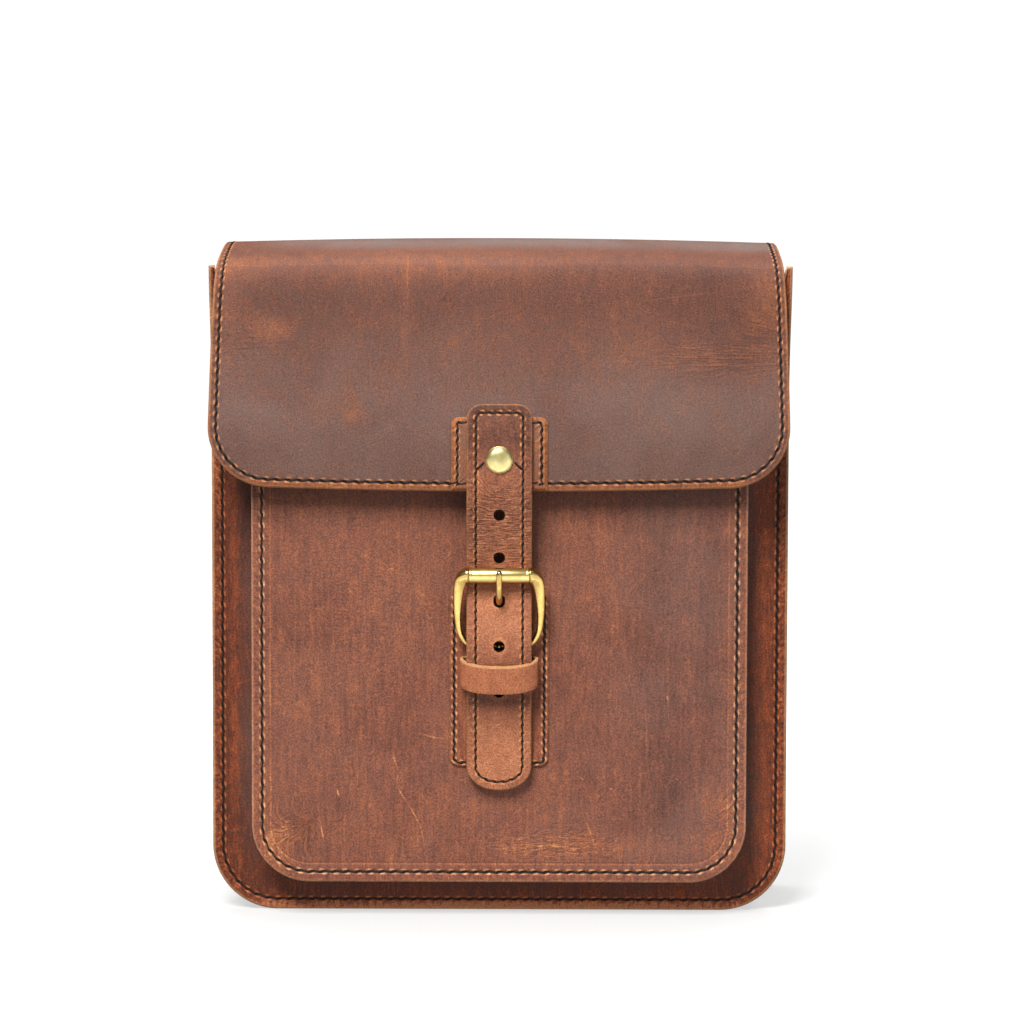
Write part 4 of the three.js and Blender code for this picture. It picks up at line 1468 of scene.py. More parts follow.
@dataclass
class Pocket:
    """Front pocket: its front and the gusset that joins it to the body."""

    half_width: float = 97.0
    bottom: float = 14.2
    top: float = 205.0
    corner: float = 22.5
    rear_flange: float = 9.0
    bend: float = 3.0
    crease: float = 7.4
    spoke_radius: float = 12.0
    seam: Seam = Seam(inset=4.1, pitch=4.6)

    def front(self) -> LeatherPiece:
        """The pocket's front: flat, with a pressed line inside its stitches and wrinkled, rubbed corners.

        Returns:
            The piece.
        """
        x, z = self.half_width - self.corner, self.bottom + self.corner

        def fold(u: Array, v: Array) -> Array:
            """Turns the wrinkles into spokes round the two lower corners.

            Args:
                u: Flat points across.
                v: Flat points along.

            Returns:
                Coordinates whose second part is constant along wrinkles.
            """
            left = spokes(u, v, (-x, z), self.spoke_radius, -135.0)
            right = spokes(u, v, (x, z), self.spoke_radius, -45.0)
            return stacked(u, np.where(u < 0, left, right))

        cut = Cut(self.half_width, self.bottom, self.top, Corner(self.corner, self.corner), Corner(0.9, 0.9))
        return LeatherPiece(
            "pocket_front_leather", cut, PANEL_LEATHER, partial(on_plane, PANEL_LEATHER - POCKET_DEPTH, -1.0),
            self.seam, crease=self.crease, tone_spots=POCKET_BLOTS, wrinkle=partial(shares, POCKET_WRINKLES),
            bloom=lambda u, v: 0.26 + 0.24 * smooth(10.0, 75.0, u), fold=fold,
        )

    def gusset(self) -> Surface:
        """The pocket gusset: a flange behind the pocket's front, a web and a flange on the front panel.

        Returns:
            The swept strip.
        """
        front, rear = PANEL_LEATHER - POCKET_DEPTH, -POCKET_GUSSET_LEATHER
        corners = [(0.0, front), (-SEAM_FLANGE, front), (-SEAM_FLANGE, rear)]
        corners += [(-SEAM_FLANGE - self.rear_flange, rear)]
        section = channel(corners, self.bend, POCKET_GUSSET_LEATHER)
        return around(section, self.half_width, self.bottom, self.top, self.corner)

    def build(self, finishes: Finishes) -> None:
        """Builds and dresses the pocket.

        Args:
            finishes: The satchel's finishes.
        """
        front = self.front()
        made = front.make(finishes.pocket, "pocket_leather", "pocket_front")
        gusset = mesh_object("pocket_gusset_leather", [self.gusset()], finishes.pocket)
        made = dress(gusset, "pocket_leather", "pocket_gusset")
        dress(thread_object("pocket_thread", [front.stitches()], finishes.thread), "pocket_leather")


@dataclass(frozen=True)
class Fold:
    """One row of the flap's drape: depth and height of its outer face, and half its width there."""

    y: float
    z: float
    half_width: float = 111.5


LAP_FACE = BODY_DEPTH + GAP + PANEL_LEATHER
FLAP_FOLDS = {
    "sewn edge": Fold(LAP_FACE, 212.0),
    "lap": Fold(LAP_FACE, 236.0),
    "lap top": Fold(LAP_FACE, 252.0),
    "rear bend": Fold(60.0, 260.5),
    "crest": Fold(51.5, 265.2),
    "lid": Fold(36.0, 264.8),
    "lid slope": Fold(18.0, 261.6),
    "front bend": Fold(4.0, 257.2, 111.8),
    "front bend foot": Fold(-5.6, 250.0, 112.0),
    "front": Fold(-12.0, 237.5, 112.3),
    "over the pocket": Fold(-20.8, 212.0, 112.6),
    "hang": Fold(-27.0, 191.0, 112.8),
    "free edge": Fold(-28.8, 171.0, 112.8),
}
# Marks and wrinkles on the front of the flap, whose second number is a height.
FLAP_BLOTS = (
    ToneSpot(-89.0, 231.0, 9.0, 5.0, 0.24), ToneSpot(-37.0, 236.0, 1.8, 18.0, 0.16),
    ToneSpot(-60.0, 203.0, 12.0, 8.0, 0.08), ToneSpot(76.0, 221.0, 28.0, 6.0, 0.11),
    ToneSpot(10.0, 226.0, 30.0, 12.0, 0.07), ToneSpot(-57.0, 199.0, 2.6, 2.0, 0.2),
    ToneSpot(105.0, 243.0, 6.0, 16.0, 0.2), ToneSpot(-106.0, 238.0, 5.0, 20.0, 0.12),
)
FLAP_WRINKLES = (
    ToneSpot(86.0, 220.0, 32.0, 7.0, 1.0), ToneSpot(101.0, 234.0, 9.0, 8.0, 0.8), ToneSpot(-100.0, 226.0, 18.0, 7.0, 0.5),
)


@dataclass
class Flap:
    """The flap: sewn to the back panel, over the top and down the front, with a patch under the strap."""

    folds: dict[str, Fold] = field(default_factory=lambda: FLAP_FOLDS)
    half_width: float = 112.5
    crown_half_width: float = 112.0
    front_row: int = 260
    corner: float = 23.0
    lap_corner: float = 10.0
    crown: float = 1.8
    crown_starts: float = 236.0
    crown_full: float = 258.0
    edge_bow: float = 2.2
    bow_reach: float = 60.0
    aside: float = -0.3
    hem_starts: float = 3.6
    hem_full: float = 2.4
    front_bend: float = 254.5
    front_bend_width: float = 6.4
    patch_half_width: float = 18.8
    patch_top: float = 197.6
    patch_skive: float = 1.6
    patch_edge: float = 0.6
    patch_seen: float = 12.0
    fan_height: float = 221.0
    fan_point: float = 148.0
    fan_from: float = 75.0
    seam: Seam = Seam(inset=3.1, pitch=4.4, course=Course.ROUND)
    patch_seam: Seam = Seam(inset=2.5, pitch=3.5, thread=0.85, groove=0.2)
    bend: Bend = field(init=False)
    widths: Array = field(init=False)

    def __post_init__(self) -> None:
        """Works out the drape's line."""
        self.bend = Bend(spline([(f.y, f.z) for f in self.folds.values()]))
        self.widths = spline([(f.half_width, f.z) for f in self.folds.values()])[:, 0]

    def lift(self, u: Array, run: Array) -> Array:
        """How far the middle stands above the sides: a crown on the lid less a bow at the free edge.

        Args:
            u: Flat points across.
            run: Lengths from the sewn edge.

        Returns:
            Heights to add: (crown - bow) (1 - (u / half width)^2).
        """
        across = 1.0 - (u / self.crown_half_width) ** 2
        height = np.interp(run, self.bend.run, self.bend.line[:, 1])
        crown = self.crown * smooth(self.crown_starts, self.crown_full, height)
        bow = self.edge_bow * smooth(self.bend.length - self.bow_reach, self.bend.length, run)
        return across * (crown - bow)

    def place(self, u: Array, v: Array, w: Array) -> Array:
        """Carries flat points onto the drape.

        Args:
            u: Flat points across.
            v: Lengths from the sewn edge.
            w: Heights through the wall.

        Returns:
            Points in space.
        """
        y, z = self.bend.at(v, w - PANEL_LEATHER)
        x = u * np.interp(v, self.bend.run, self.widths) / self.half_width + self.aside
        return stacked(x, y, z + self.lift(u, v))

    def over(self, clear: float, below: float) -> Array:
        """The grain side's middle line on the front, moved out.

        Args:
            clear: Distance that it is moved out.
            below: Height that the line starts below.

        Returns:
            Points (y, z) from the top down.
        """
        run = np.linspace(0.0, self.bend.length, round(self.bend.length) + 1)
        y, z = self.bend.at(run, 0 * run)
        line = Bend(stacked(y, z + self.lift(0 * run, run)))
        y, z = line.at(line.run, 0 * line.run + clear)
        keep = (y < 0.0) & (z < below)
        return stacked(y[keep], z[keep])

    def height(self, run: Array) -> tuple[Array, Array]:
        """Depth and height of the drape at lengths from the sewn edge."""
        return self.bend.at(run, 0 * run)

    def run_at(self, height: float) -> float:
        """Length from the sewn edge where the drape's front is at a height."""
        front = slice(self.front_row, None)
        return float(np.interp(-height, -self.bend.line[front, 1], self.bend.run[front]))

    def pull(self, u: Array, v: Array) -> Array:
        """Paleness of the drape: most on the front bend, some at the free edge, less on the flat front.

        Args:
            u: Flat points across.
            v: Lengths from the sewn edge.

        Returns:
            Paleness to add.
        """
        y, z = self.height(v)
        front = (y < 20.0) * bell(z, self.front_bend, self.front_bend_width)
        lid = smooth(10.0, 30.0, y) * smooth(256.0, 262.0, z)
        upper = (y < 0) * smooth(205.0, 245.0, z)
        return (0.11 - 0.12 * smooth(0.0, 60.0, u)) * front + 0.03 * lid - 0.09 * upper + 0.26 * self.hem(v)

    def hem(self, v: Array) -> Array:
        """Share of the rubbed strip along the free edge, outside its stitches."""
        return smooth(self.bend.length - self.hem_starts, self.bend.length - self.hem_full, v)

    def bloom(self, u: Array, v: Array) -> Array:
        """Grey mix of painted sheen: on the lower front, and on the lid.

        Args:
            u: Flat points across.
            v: Lengths from the sewn edge.

        Returns:
            Shares of the painted sheen.
        """
        y, z = self.height(v)
        # Painted sheen on the lid, fading out at its left end, and on the lower front outside the hem.
        lid = smooth(-110.0, -66.0, u) * smooth(8.0, 30.0, y) * smooth(257.0, 262.0, z)
        return 0.6 * (1.0 - smooth(188.0, 244.0, z)) * (y < 0) * (1.0 - self.hem(v)) + lid

    def sheet(self) -> LeatherPiece:
        """The flap itself, whose wrinkles fan out from points beyond the two side edges.

        Returns:
            The piece.
        """
        middle, edge = self.run_at(self.fan_height), self.bend.length
        tone_spots, worn_and_sheen = (
            [replace(tone_spot, along=self.run_at(tone_spot.along)) for tone_spot in table]
            for table in (FLAP_BLOTS, FLAP_WRINKLES)
        )

        def raise_thread(u: Array, v: Array) -> Array:
            """Lifts the edge's stitches where they run over the patch."""
            inside = np.abs(u) < self.patch_half_width - self.patch_edge
            on_patch = inside & (v > edge - self.patch_seen)
            return np.where(on_patch, PATCH_LEATHER + GAP, 0.0)

        def fold(u: Array, v: Array) -> Array:
            """Spreads the wrinkles more the farther they are from the fan's points."""
            return stacked(0.4 * u, middle + (v - middle) * self.fan_from / (self.fan_point - np.abs(u)))

        lap, free = Corner(self.lap_corner, self.lap_corner), Corner(self.corner, self.corner)
        return LeatherPiece(
            "flap_leather", Cut(self.half_width, 0.0, edge, lap, free), PANEL_LEATHER, self.place, self.seam,
            ring_step=2.6, bevel=0.9, tone_spots=tone_spots, pull=self.pull, bloom=self.bloom,
            raise_thread=raise_thread, wrinkle=partial(shares, worn_and_sheen), fold=fold,
        )

    def patch(self) -> LeatherPiece:
        """The thin patch under the strap, with skived edges, from its top down to the flap's free edge.

        Returns:
            The piece.
        """
        bend = Bend(self.over(GAP, self.patch_top))
        cut = Cut(self.patch_half_width, 0.0, bend.length, Corner(3.2, 3.2), Corner(0.5, 0.5), step=0.6)
        return LeatherPiece(
            "flap_patch_leather", cut, PATCH_LEATHER, bend.place, self.patch_seam, skive=self.patch_skive,
            ring_step=1.5,
            # The patch takes the flap's grey mix all over: painted sheen.
            pull=lambda u, v: 0.3 + 0.08 * smooth(15.6, 17.0, np.abs(u)), bloom=lambda u, v: 0.8 + 0.0 * u,
        )

    def build(self, finishes: Finishes) -> None:
        """Builds and dresses the flap.

        Args:
            finishes: The satchel's finishes.
        """
        flap, patch = self.sheet(), self.patch()
        made = flap.make(finishes.flap, "flap_leather", "flap")
        flat = (0.225, round(self.bend.length * MM, 3))
        made = patch.make(finishes.flap, "flap_leather", "flap_patch")
        rows = [flap.stitches(), patch.stitches()]
        dress(thread_object("flap_thread", rows, finishes.thread), "flap_leather")


STRAP_DRAPE = {
    "below the flap": (-29.0, 158.0),
    "under the roller": (-24.4, 135.4),
    "tongue hole": (-25.4, 121.0),
    "over the heel bar": (-26.8, 108.0),
    "keeper": (-25.2, 96.0),
    "below the keeper": (-22.6, 83.0),
    "on the base": (-20.4, 69.0),
    "tip": (-19.9, 51.2),
}
STRAP_HOLES = (159.7, 142.9, 108.6, 90.4)


@dataclass
class Strap:
    """Closure strap: stitched all round, punched with holes, with the keeper and the rivet that hold it."""

    flap: Flap
    half_width: float = 12.7
    top: float = 202.5
    row_step: int = 8
    spoke_radius: float = 7.0
    hole: float = 1.9
    tongue: tuple[float, float, float] = (126.7, 125.9, 1.9)
    seam: Seam = Seam(inset=3.6, pitch=3.45, thread=0.85, course=Course.ROUND, slant=0.32, groove=0.24)
    tack_foot: tuple[float, float] = (9.1, 177.1)
    tack_head: tuple[float, float] = (5.5, 180.4)
    tack_normal: tuple[float, float] = (0.67, 0.74)
    rivet_height: float = 181.3
    rivet_radius: float = 5.3
    rivet_dome: float = 2.4
    rivet_rear: float = 4.5
    rivet_post: float = 1.5
    keeper_half_width: float = 15.3
    keeper_height: float = 10.6
    keeper_end: float = 98.7
    keeper_depth: float = 10.0
    keeper_bow: float = 12.6
    keeper_corner: float = 3.0
    keeper_round: float = 0.5
    keeper_droop: float = 3.6
    bend: Bend = field(init=False)

    def __post_init__(self) -> None:
        """Works out the line of the strap's flesh side."""
        on_flap = self.flap.over(GAP + PATCH_LEATHER + GAP, self.top)
        self.bend = Bend(spline([*map(tuple, on_flap[:: self.row_step]), *STRAP_DRAPE.values()]))

    def run_at(self, height: float) -> float:
        """Length from the upper end where the strap is at a height."""
        return float(np.interp(-height, -self.bend.line[:, 1], self.bend.run))

    def face(self, height: float) -> float:
        """Depth of the strap's grain side at a height."""
        return float(self.bend.at(np.array([self.run_at(height)]), np.array([STRAP_LEATHER]))[0][0])

    def leather(self) -> LeatherPiece:
        """The strap's leather, whose fine wrinkles run across it and turn into spokes round the rivet.

        Returns:
            The piece, before its holes are punched.
        """
        cut = Cut(self.half_width, 0.0, self.bend.length, Corner(5.8, 5.8), Corner(12.2, 9.5), step=0.6)
        holes = [self.run_at(z) for z in (*STRAP_HOLES, self.tongue[1])]
        hub = (0.0, self.run_at(self.rivet_height))

        def pull(u: Array, v: Array) -> Array:
            """Pale rings round the holes, and paler where the strap bends or is handled.

            Args:
                u: Flat points across.
                v: Flat points along.

            Returns:
                Paleness to add.
            """
            ring = sum(bell(np.hypot(u, v - h), self.hole + 0.7, 0.8) for h in holes)
            z = self.bend.at(v, 0 * v)[1]
            bent = 0.28 * bell(z, 119.0, 13.0) + 0.1 * bell(z, 150.0, 14.0)
            handled = 0.24 * (1.0 - smooth(70.0, 88.0, z))
            # Darker in a narrow band just below the keeper: painted shade under it.
            return 0.22 * ring + bent + handled - 0.27 * smooth(174.0, 190.0, z) - 0.25 * bell(z, 87.0, 3.0)

        def wrinkle(u: Array, v: Array) -> Array:
            """Most wrinkles between the flap and the buckle, and none at the top."""
            z = self.bend.at(v, 0 * v)[1]
            return (0.2 + 0.8 * bell(z, 158.0, 20.0)) * (1.0 - smooth(180.0, 185.0, z))

        return LeatherPiece(
            "closure_strap_leather", cut, STRAP_LEATHER, self.bend.place, self.seam, bevel=0.65,
            ring_step=0.8, pull=pull, wrinkle=wrinkle,
            fold=lambda u, v: stacked(u, spokes(u, v, hub, self.spoke_radius, 90.0)),
        )

    def holes(self) -> list[Surface]:
        """Tools for the holes: round ones whose mouth flares on the grain side, and the prong's long one.

        Returns:
            One closed tool for each hole.
        """
        top, low, wide = self.tongue
        rows = [(z, self.hole, 0.0) for z in STRAP_HOLES] + [((top + low) / 2, wide, (top - low) / 2)]
        depth = np.array([-6.0, -0.3, 0.1, 0.4, 0.9, 9.0])
        flare = np.array([0.45, 0.4, 0.24, 0.08, 0.0, 0.0])
        return [punch_tool(z, radius + flare, stretch, self.face(z) + depth) for z, radius, stretch in rows]

    def tacks(self) -> Surface:
        """Two slanted stitches that run from the side rows up to the rivet.

        Returns:
            Both stitches as one surface of separate tubes.
        """
        share = np.linspace(0.0, 1.0, 7)
        thin = np.array([0.0, 0.8, 1.0, 1.0, 1.0, 0.8, 0.0])
        (wide, foot), (narrow, head) = self.tack_foot, self.tack_head
        low, high = self.run_at(foot), self.run_at(head)
        side = np.array([[-1.0], [1.0]])
        u = side * (wide + (narrow - wide) * share)
        v = low + (high - low) * share + 0 * side
        angle = circle(6)
        radius = 0.5 * self.seam.thread * thin[:, None]
        up = STRAP_LEATHER - 0.1 + 0.34 * np.sin(np.pi * share)[:, None] + radius * np.sin(angle)
        flat_u = u[..., None] + radius * np.cos(angle) * self.tack_normal[0]
        flat_v = v[..., None] - side[..., None] * radius * np.cos(angle) * self.tack_normal[1]
        return tubes(self.bend.place(flat_u, flat_v, np.broadcast_to(up, flat_u.shape)))

    def rivet(self) -> Surface:
        """Cap rivet: a lathe profile about y with a rolled rim, a low dome, a post and a flat rear cap.

        Returns:
            The turned surface.
        """
        rim, wide, post = self.rivet_radius, self.rivet_rear, self.rivet_post
        face = self.face(self.rivet_height)
        seat = face - 0.15
        inside = face + STRAP_LEATHER + PATCH_LEATHER + 2 * GAP + PANEL_LEATHER + 0.75
        angle = np.linspace(0.0, np.pi / 2, 14)
        rise = seat - 0.6 - (self.rivet_dome - 0.6) * np.sin(angle)
        dome = stacked((rim - 0.2) * np.cos(angle) ** 0.8, rise)
        lip = np.linspace(-0.5, 0.5, 7) * np.pi
        roll = stacked(rim - 0.3 + 0.3 * np.cos(lip), seat - 0.3 - 0.3 * np.sin(lip))
        rear = [(0.0, inside + 0.8), (wide - 0.3, inside + 0.8), (wide, inside + 0.5), (wide, inside)]
        rear += [(post, inside), (post, seat)]
        profile = np.vstack([rear, roll, dome[1:], [[0.0, dome[-1, 1]]]])
        turn = circle(48)
        x = profile[:, :1] * np.cos(turn)
        z = self.rivet_height + profile[:, :1] * np.sin(turn)
        return Surface(stacked(x, profile[:, 1:2], z), closed_columns=True)

    def keeper(self) -> Surface:
        """Keeper: a band with rounded edges carried round a loop, whose front half hangs lower.

        The loop is a rectangle about the strap with elliptic corners, and the droop grows with depth before
        its middle.

        Returns:
            The closed band.
        """
        back = -POCKET_DEPTH - 3 * GAP - 2 * PATCH_LEATHER
        half, deep = self.keeper_half_width - KEEPER_LEATHER / 2, self.keeper_depth / 2 - KEEPER_LEATHER / 2
        middle = back - self.keeper_depth / 2
        front, rear = Corner(self.keeper_bow, deep), Corner(self.keeper_corner, self.keeper_corner)
        cut = Cut(half, middle - deep, middle + deep, front, rear, step=0.5, corner_steps=30)
        loop = cut.ring(np.array([0.0]))[0]
        slope = np.roll(loop, -1, axis=0) - np.roll(loop, 1, axis=0)
        normal = stacked(slope[:, 1], -slope[:, 0]) / np.linalg.norm(slope, axis=1, keepdims=True)
        spine, side = stacked(*loop.T, self.keeper_end), stacked(*normal.T, 0.0)
        up = np.zeros_like(side) + [0.0, 0.0, 1.0]
        t, tall, soft = KEEPER_LEATHER / 2, self.keeper_height / 2, self.keeper_round
        turn = np.linspace(0.0, np.pi / 2, 5)
        quarter = stacked(t - soft + soft * np.cos(turn), tall - soft + soft * np.sin(turn))
        rise = np.linspace(-1.0, 1.0, 8)[1:-1, None] * [0.0, tall - soft]
        upper = [rise + [t, 0.0], quarter, (quarter * [-1, 1])[::-1]]
        lower = [rise[::-1] + [-t, 0.0], quarter * [-1, -1], (quarter * [1, -1])[::-1]]
        section = np.vstack([*upper, *lower])
        points = swept(section[None], spine, side, up)
        forward = np.maximum(0.0, (middle - points[..., 1]) / (self.keeper_depth / 2))
        points[..., 2] -= self.keeper_droop * forward
        points = closed(points)
        chart = stacked(cut.run(0.0)[:, None], lengths(closed(section))[None, :]) * MM
        maps = {"cut": chart, "seam": np.full(chart.shape, NO_SEAM)}
        raw = 0.8 * smooth(tall - 0.55, tall - 0.05, np.abs(section[:, 1]))
        flesh = (section[:, 0] < -t + 0.01) * 1.0
        grid = points.shape[:2]
        marks = {"raw": np.broadcast_to(raw, grid), "flesh": np.broadcast_to(flesh, grid)}
        return Surface(points, closed_columns=True, maps=maps, marks=marks)

    def build(self, finishes: Finishes) -> None:
        """Builds and dresses strap, rivet and keeper.

        Args:
            finishes: The satchel's finishes.
        """
        leather = self.leather()
        strap = mesh_object(leather.name, [leather.surface()], finishes.strap)
        punch(strap, self.holes())
        dress(strap, "strap_leather", "closure_strap")
        flat = (0.0254, round(self.bend.length * MM, 3))
        rows = [leather.stitches(), self.tacks()]
        dress(thread_object("strap_thread", rows, finishes.thread), "strap_leather")
        dress(mesh_object("rivet_cap", [self.rivet()], finishes.antique), "antique_brass", "rivet")
        keeper = mesh_object("keeper_band", [self.keeper()], finishes.keeper)
        made = dress(keeper, "keeper_leather", "keeper_loop")


@dataclass(frozen=True)
class Bar:
    """One row of the buckle frame's right half: where its middle is, and half its width and thickness."""

    x: float
    z: float
    wide: float
    thick: float


FRAME_BARS = {
    "heel middle": Bar(0.0, 108.0, 1.1, 1.2),
    "heel": Bar(7.0, 108.0, 1.1, 1.2),
    "foot": Bar(12.2, 109.3, 1.1, 1.25),
    "lower bend": Bar(15.2, 113.4, 1.15, 1.3),
    "arm": Bar(16.15, 120.0, 1.35, 1.4),
    "upper arm": Bar(16.0, 127.0, 1.8, 1.6),
    "shoulder": Bar(15.4, 132.2, 2.25, 2.0),
    "corner": Bar(14.3, 135.2, 2.6, 2.5),
    "collar": Bar(12.6, 136.3, 2.75, 2.75),
    "collar end": Bar(12.0, 136.4, 2.7, 2.7),
    "neck": Bar(11.9, 136.4, 1.5, 1.5),
    "roller bar": Bar(6.0, 136.4, 1.4, 1.4),
    "roller bar middle": Bar(0.0, 136.4, 1.4, 1.4),
}
PRONG_DRAPE = {
    "eye": (-23.6, 110.4),
    "behind the strap": (-23.2, 116.5),
    "before the hole": (-23.8, 121.6),
    "entering the hole": (-26.0, 124.6),
    "through the hole": (-29.2, 126.2),
    "leaving the strap": (-32.3, 128.4),
    "up the front": (-34.3, 132.0),
    "on the roller": (-35.2, 136.0),
    "tip": (-35.0, 138.8),
}


@dataclass
class Buckle:
    """Roller buckle: frame, roller and prong, with the patch behind it."""

    heel_y: float = -23.1
    heel_z: float = 108.0
    roller_y: float = -30.7
    roller_z: float = 136.4
    roller_radius: float = 2.9
    roller_half: float = 11.7
    roller_wall: float = 0.5
    squareness: float = 2.9
    prong: float = 1.3
    prong_tip: float = 1.6
    prong_eye: float = 1.9
    prong_band: tuple[float, float] = (1.0, 0.5)
    eye: float = 2.7
    chape_half_width: float = 10.5
    chape_bottom: float = 81.0
    chape_turn: float = 1.55
    chape_slot: float = 2.3
    slot_rise: float = 0.4
    slot_stretch: float = 1.2
    slot_depth: tuple[float, float] = (-7.0, 1.4)
    base_half_width: float = 19.6
    base_bottom: float = 59.8
    base_top: float = 133.4
    base_seam: Seam = Seam(inset=2.0, pitch=3.6, thread=0.85, groove=0.2)

    def base(self) -> LeatherPiece:
        """The thin patch behind the buckle, with skived edges.

        Returns:
            The piece.
        """
        place = partial(on_plane, -POCKET_DEPTH - 0.4 * GAP, -1.0)
        lower, upper = Corner(3.8, 3.8), Corner(6.0, 6.0)
        cut = Cut(self.base_half_width, self.base_bottom, self.base_top, lower, upper, step=0.6)
        return LeatherPiece(
            "buckle_base_leather", cut, PATCH_LEATHER, place, self.base_seam, skive=1.3, ring_step=1.6,
            pull=lambda u, v: 0.07 + 0.0 * u,
        )

    def chape(self) -> LeatherPiece:
        """The folded strip that holds the heel bar: up behind the strap and round the bar.

        Returns:
            The piece, before its slot is punched.
        """
        turn = np.linspace(0.0, self.chape_turn * np.pi, 30)
        eye = stacked(self.heel_y + self.eye * np.cos(turn), self.heel_z + self.eye * np.sin(turn))
        tail = np.linspace(self.chape_bottom, self.heel_z, 14, endpoint=False)
        bend = Bend(np.vstack([stacked(self.heel_y + self.eye, tail), eye]))
        cut = Cut(self.chape_half_width, 0.0, bend.length, Corner(2.0, 2.0), Corner(0.5, 0.5), step=0.8)
        return LeatherPiece(
            "buckle_chape_leather", cut, PATCH_LEATHER, bevel=0.4, ring_step=1.0,
            place=lambda u, v, w: bend.place(u, v, w - PATCH_LEATHER / 2),
        )

    def frame_ring(self) -> Surface:
        """The frame: a superellipse section, flatter on its face, carried round a closed line.

        The line goes up the right half through the table's rows and comes back mirrored. It lies in the plane
        through the heel bar and the roller bar.

        Returns:
            The closed ring.
        """
        rows = spline([(b.x, b.z, b.wide, b.thick) for b in FRAME_BARS.values()], steps=9)
        ring = np.vstack([rows, (rows * [-1, 1, 1, 1])[-2:0:-1]])
        tilt = np.array([0.0, self.roller_y - self.heel_y, self.roller_z - self.heel_z])
        rise = (ring[:, 1] - self.heel_z) / tilt[2]
        spine = stacked(ring[:, 0], self.heel_y + tilt[1] * rise, ring[:, 1])
        slope = np.roll(spine, -1, axis=0) - np.roll(spine, 1, axis=0)
        slope /= np.linalg.norm(slope, axis=1, keepdims=True)
        out = np.cross([1.0, 0.0, 0.0], tilt / np.linalg.norm(tilt)) * np.ones((len(spine), 1))
        side = np.cross(slope, out)
        turn = circle(24)
        corner = stacked(np.cos(turn), np.sin(turn))
        shape = np.sign(corner) * np.abs(corner) ** (2.0 / self.squareness)
        section = shape[None] * ring[:, None, 2:4]
        return Surface(swept(section, spine, side, out), closed_rows=True, closed_columns=True)

    def roller(self) -> Surface:
        """The roller: a tube about x with rolled ends, as a closed lathe profile.

        Returns:
            The closed tube.
        """
        r, h, wall = self.roller_radius, self.roller_half, self.roller_wall
        rim = [(-0.3, 0.0), (-0.05, 0.1), (0.06, 0.35), (0.05, 0.75), (-0.08, 1.0), (0.0, 1.25)]
        outer = [(r + out, -h + along) for out, along in rim]
        outer += [(r + 0.05, 0.0)] + [(a, -x) for a, x in outer[::-1]]
        profile = np.array([*outer, (r - wall, h), (r - wall, -h)])
        turn = circle(40)
        y = self.roller_y + profile[:, :1] * np.cos(turn)
        z = self.roller_z + profile[:, :1] * np.sin(turn)
        points = stacked(profile[:, 1:2], y, z)
        return Surface(points, closed_rows=True, closed_columns=True)

    def tongue(self) -> list[Surface]:
        """The prong: a round rod along its line, thicker at the root, with a rounded tip, and its eye.

        Returns:
            The rod, and the eye round the heel bar.
        """
        line = spline(list(PRONG_DRAPE.values()), steps=10)
        bend = Bend(line)
        share = bend.run / bend.length
        left = np.minimum((bend.length - bend.run) / self.prong_tip, 1.0)
        radius = self.prong * (1.0 - 0.1 * share) * np.sqrt(np.clip(1.0 - (1.0 - left) ** 2, 0.0, 1.0))
        turn, across = circle(16), [1.0, 0.0, 0.0]
        section = stacked(np.cos(turn), np.sin(turn))[None] * radius[:, None, None]
        spine, lift = (stacked(0.0, *part.T) for part in (line, bend.outward))
        shank = Surface(with_ends(swept(section, spine, 0 * spine + across, lift)), closed_columns=True)
        bar = circle(28)
        arm = stacked(0.0, np.cos(bar), np.sin(bar))
        centre = np.array([0.0, self.heel_y, self.heel_z]) + self.prong_eye * arm
        ring = (stacked(np.cos(turn), np.sin(turn)) * self.prong_band)[None]
        eye = swept(ring, centre, 0 * arm + across, arm)
        return [shank, Surface(eye, closed_rows=True, closed_columns=True)]

    def build(self, finishes: Finishes) -> None:
        """Builds and dresses the buckle and the patch behind it.

        Args:
            finishes: The satchel's finishes.
        """
        base = self.base()
        made = base.make(finishes.pocket, "pocket_leather", "buckle_base")
        dress(thread_object("buckle_base_thread", [base.stitches()], finishes.thread), "pocket_leather")
        brass = "polished_brass"
        frame_piece = mesh_object("buckle_frame_brass", [self.frame_ring()], finishes.polished)
        dress(frame_piece, brass, "buckle_frame")
        dress(mesh_object("buckle_roller_brass", [self.roller()], finishes.rolled), brass, "buckle_roller")
        dress(mesh_object("buckle_prong_brass", self.tongue(), finishes.polished), brass, "buckle_prong")
        chape = self.chape()
        made = mesh_object(chape.name, [chape.surface()], finishes.strap)
        depth, radius = self.heel_y + np.array(self.slot_depth), np.full(2, self.chape_slot)
        punch(made, [punch_tool(self.heel_z + self.slot_rise, radius, self.slot_stretch, depth)])
        dress(made, "strap_leather", "buckle_chape")


Point = tuple[float, float, float]


@dataclass(frozen=True)
class SoftBox:
    """One soft light: where it stands, what it points at, its size and its power."""

    name: str
    stand: Point
    aim: Point
    size: tuple[float, float]
    watts: float


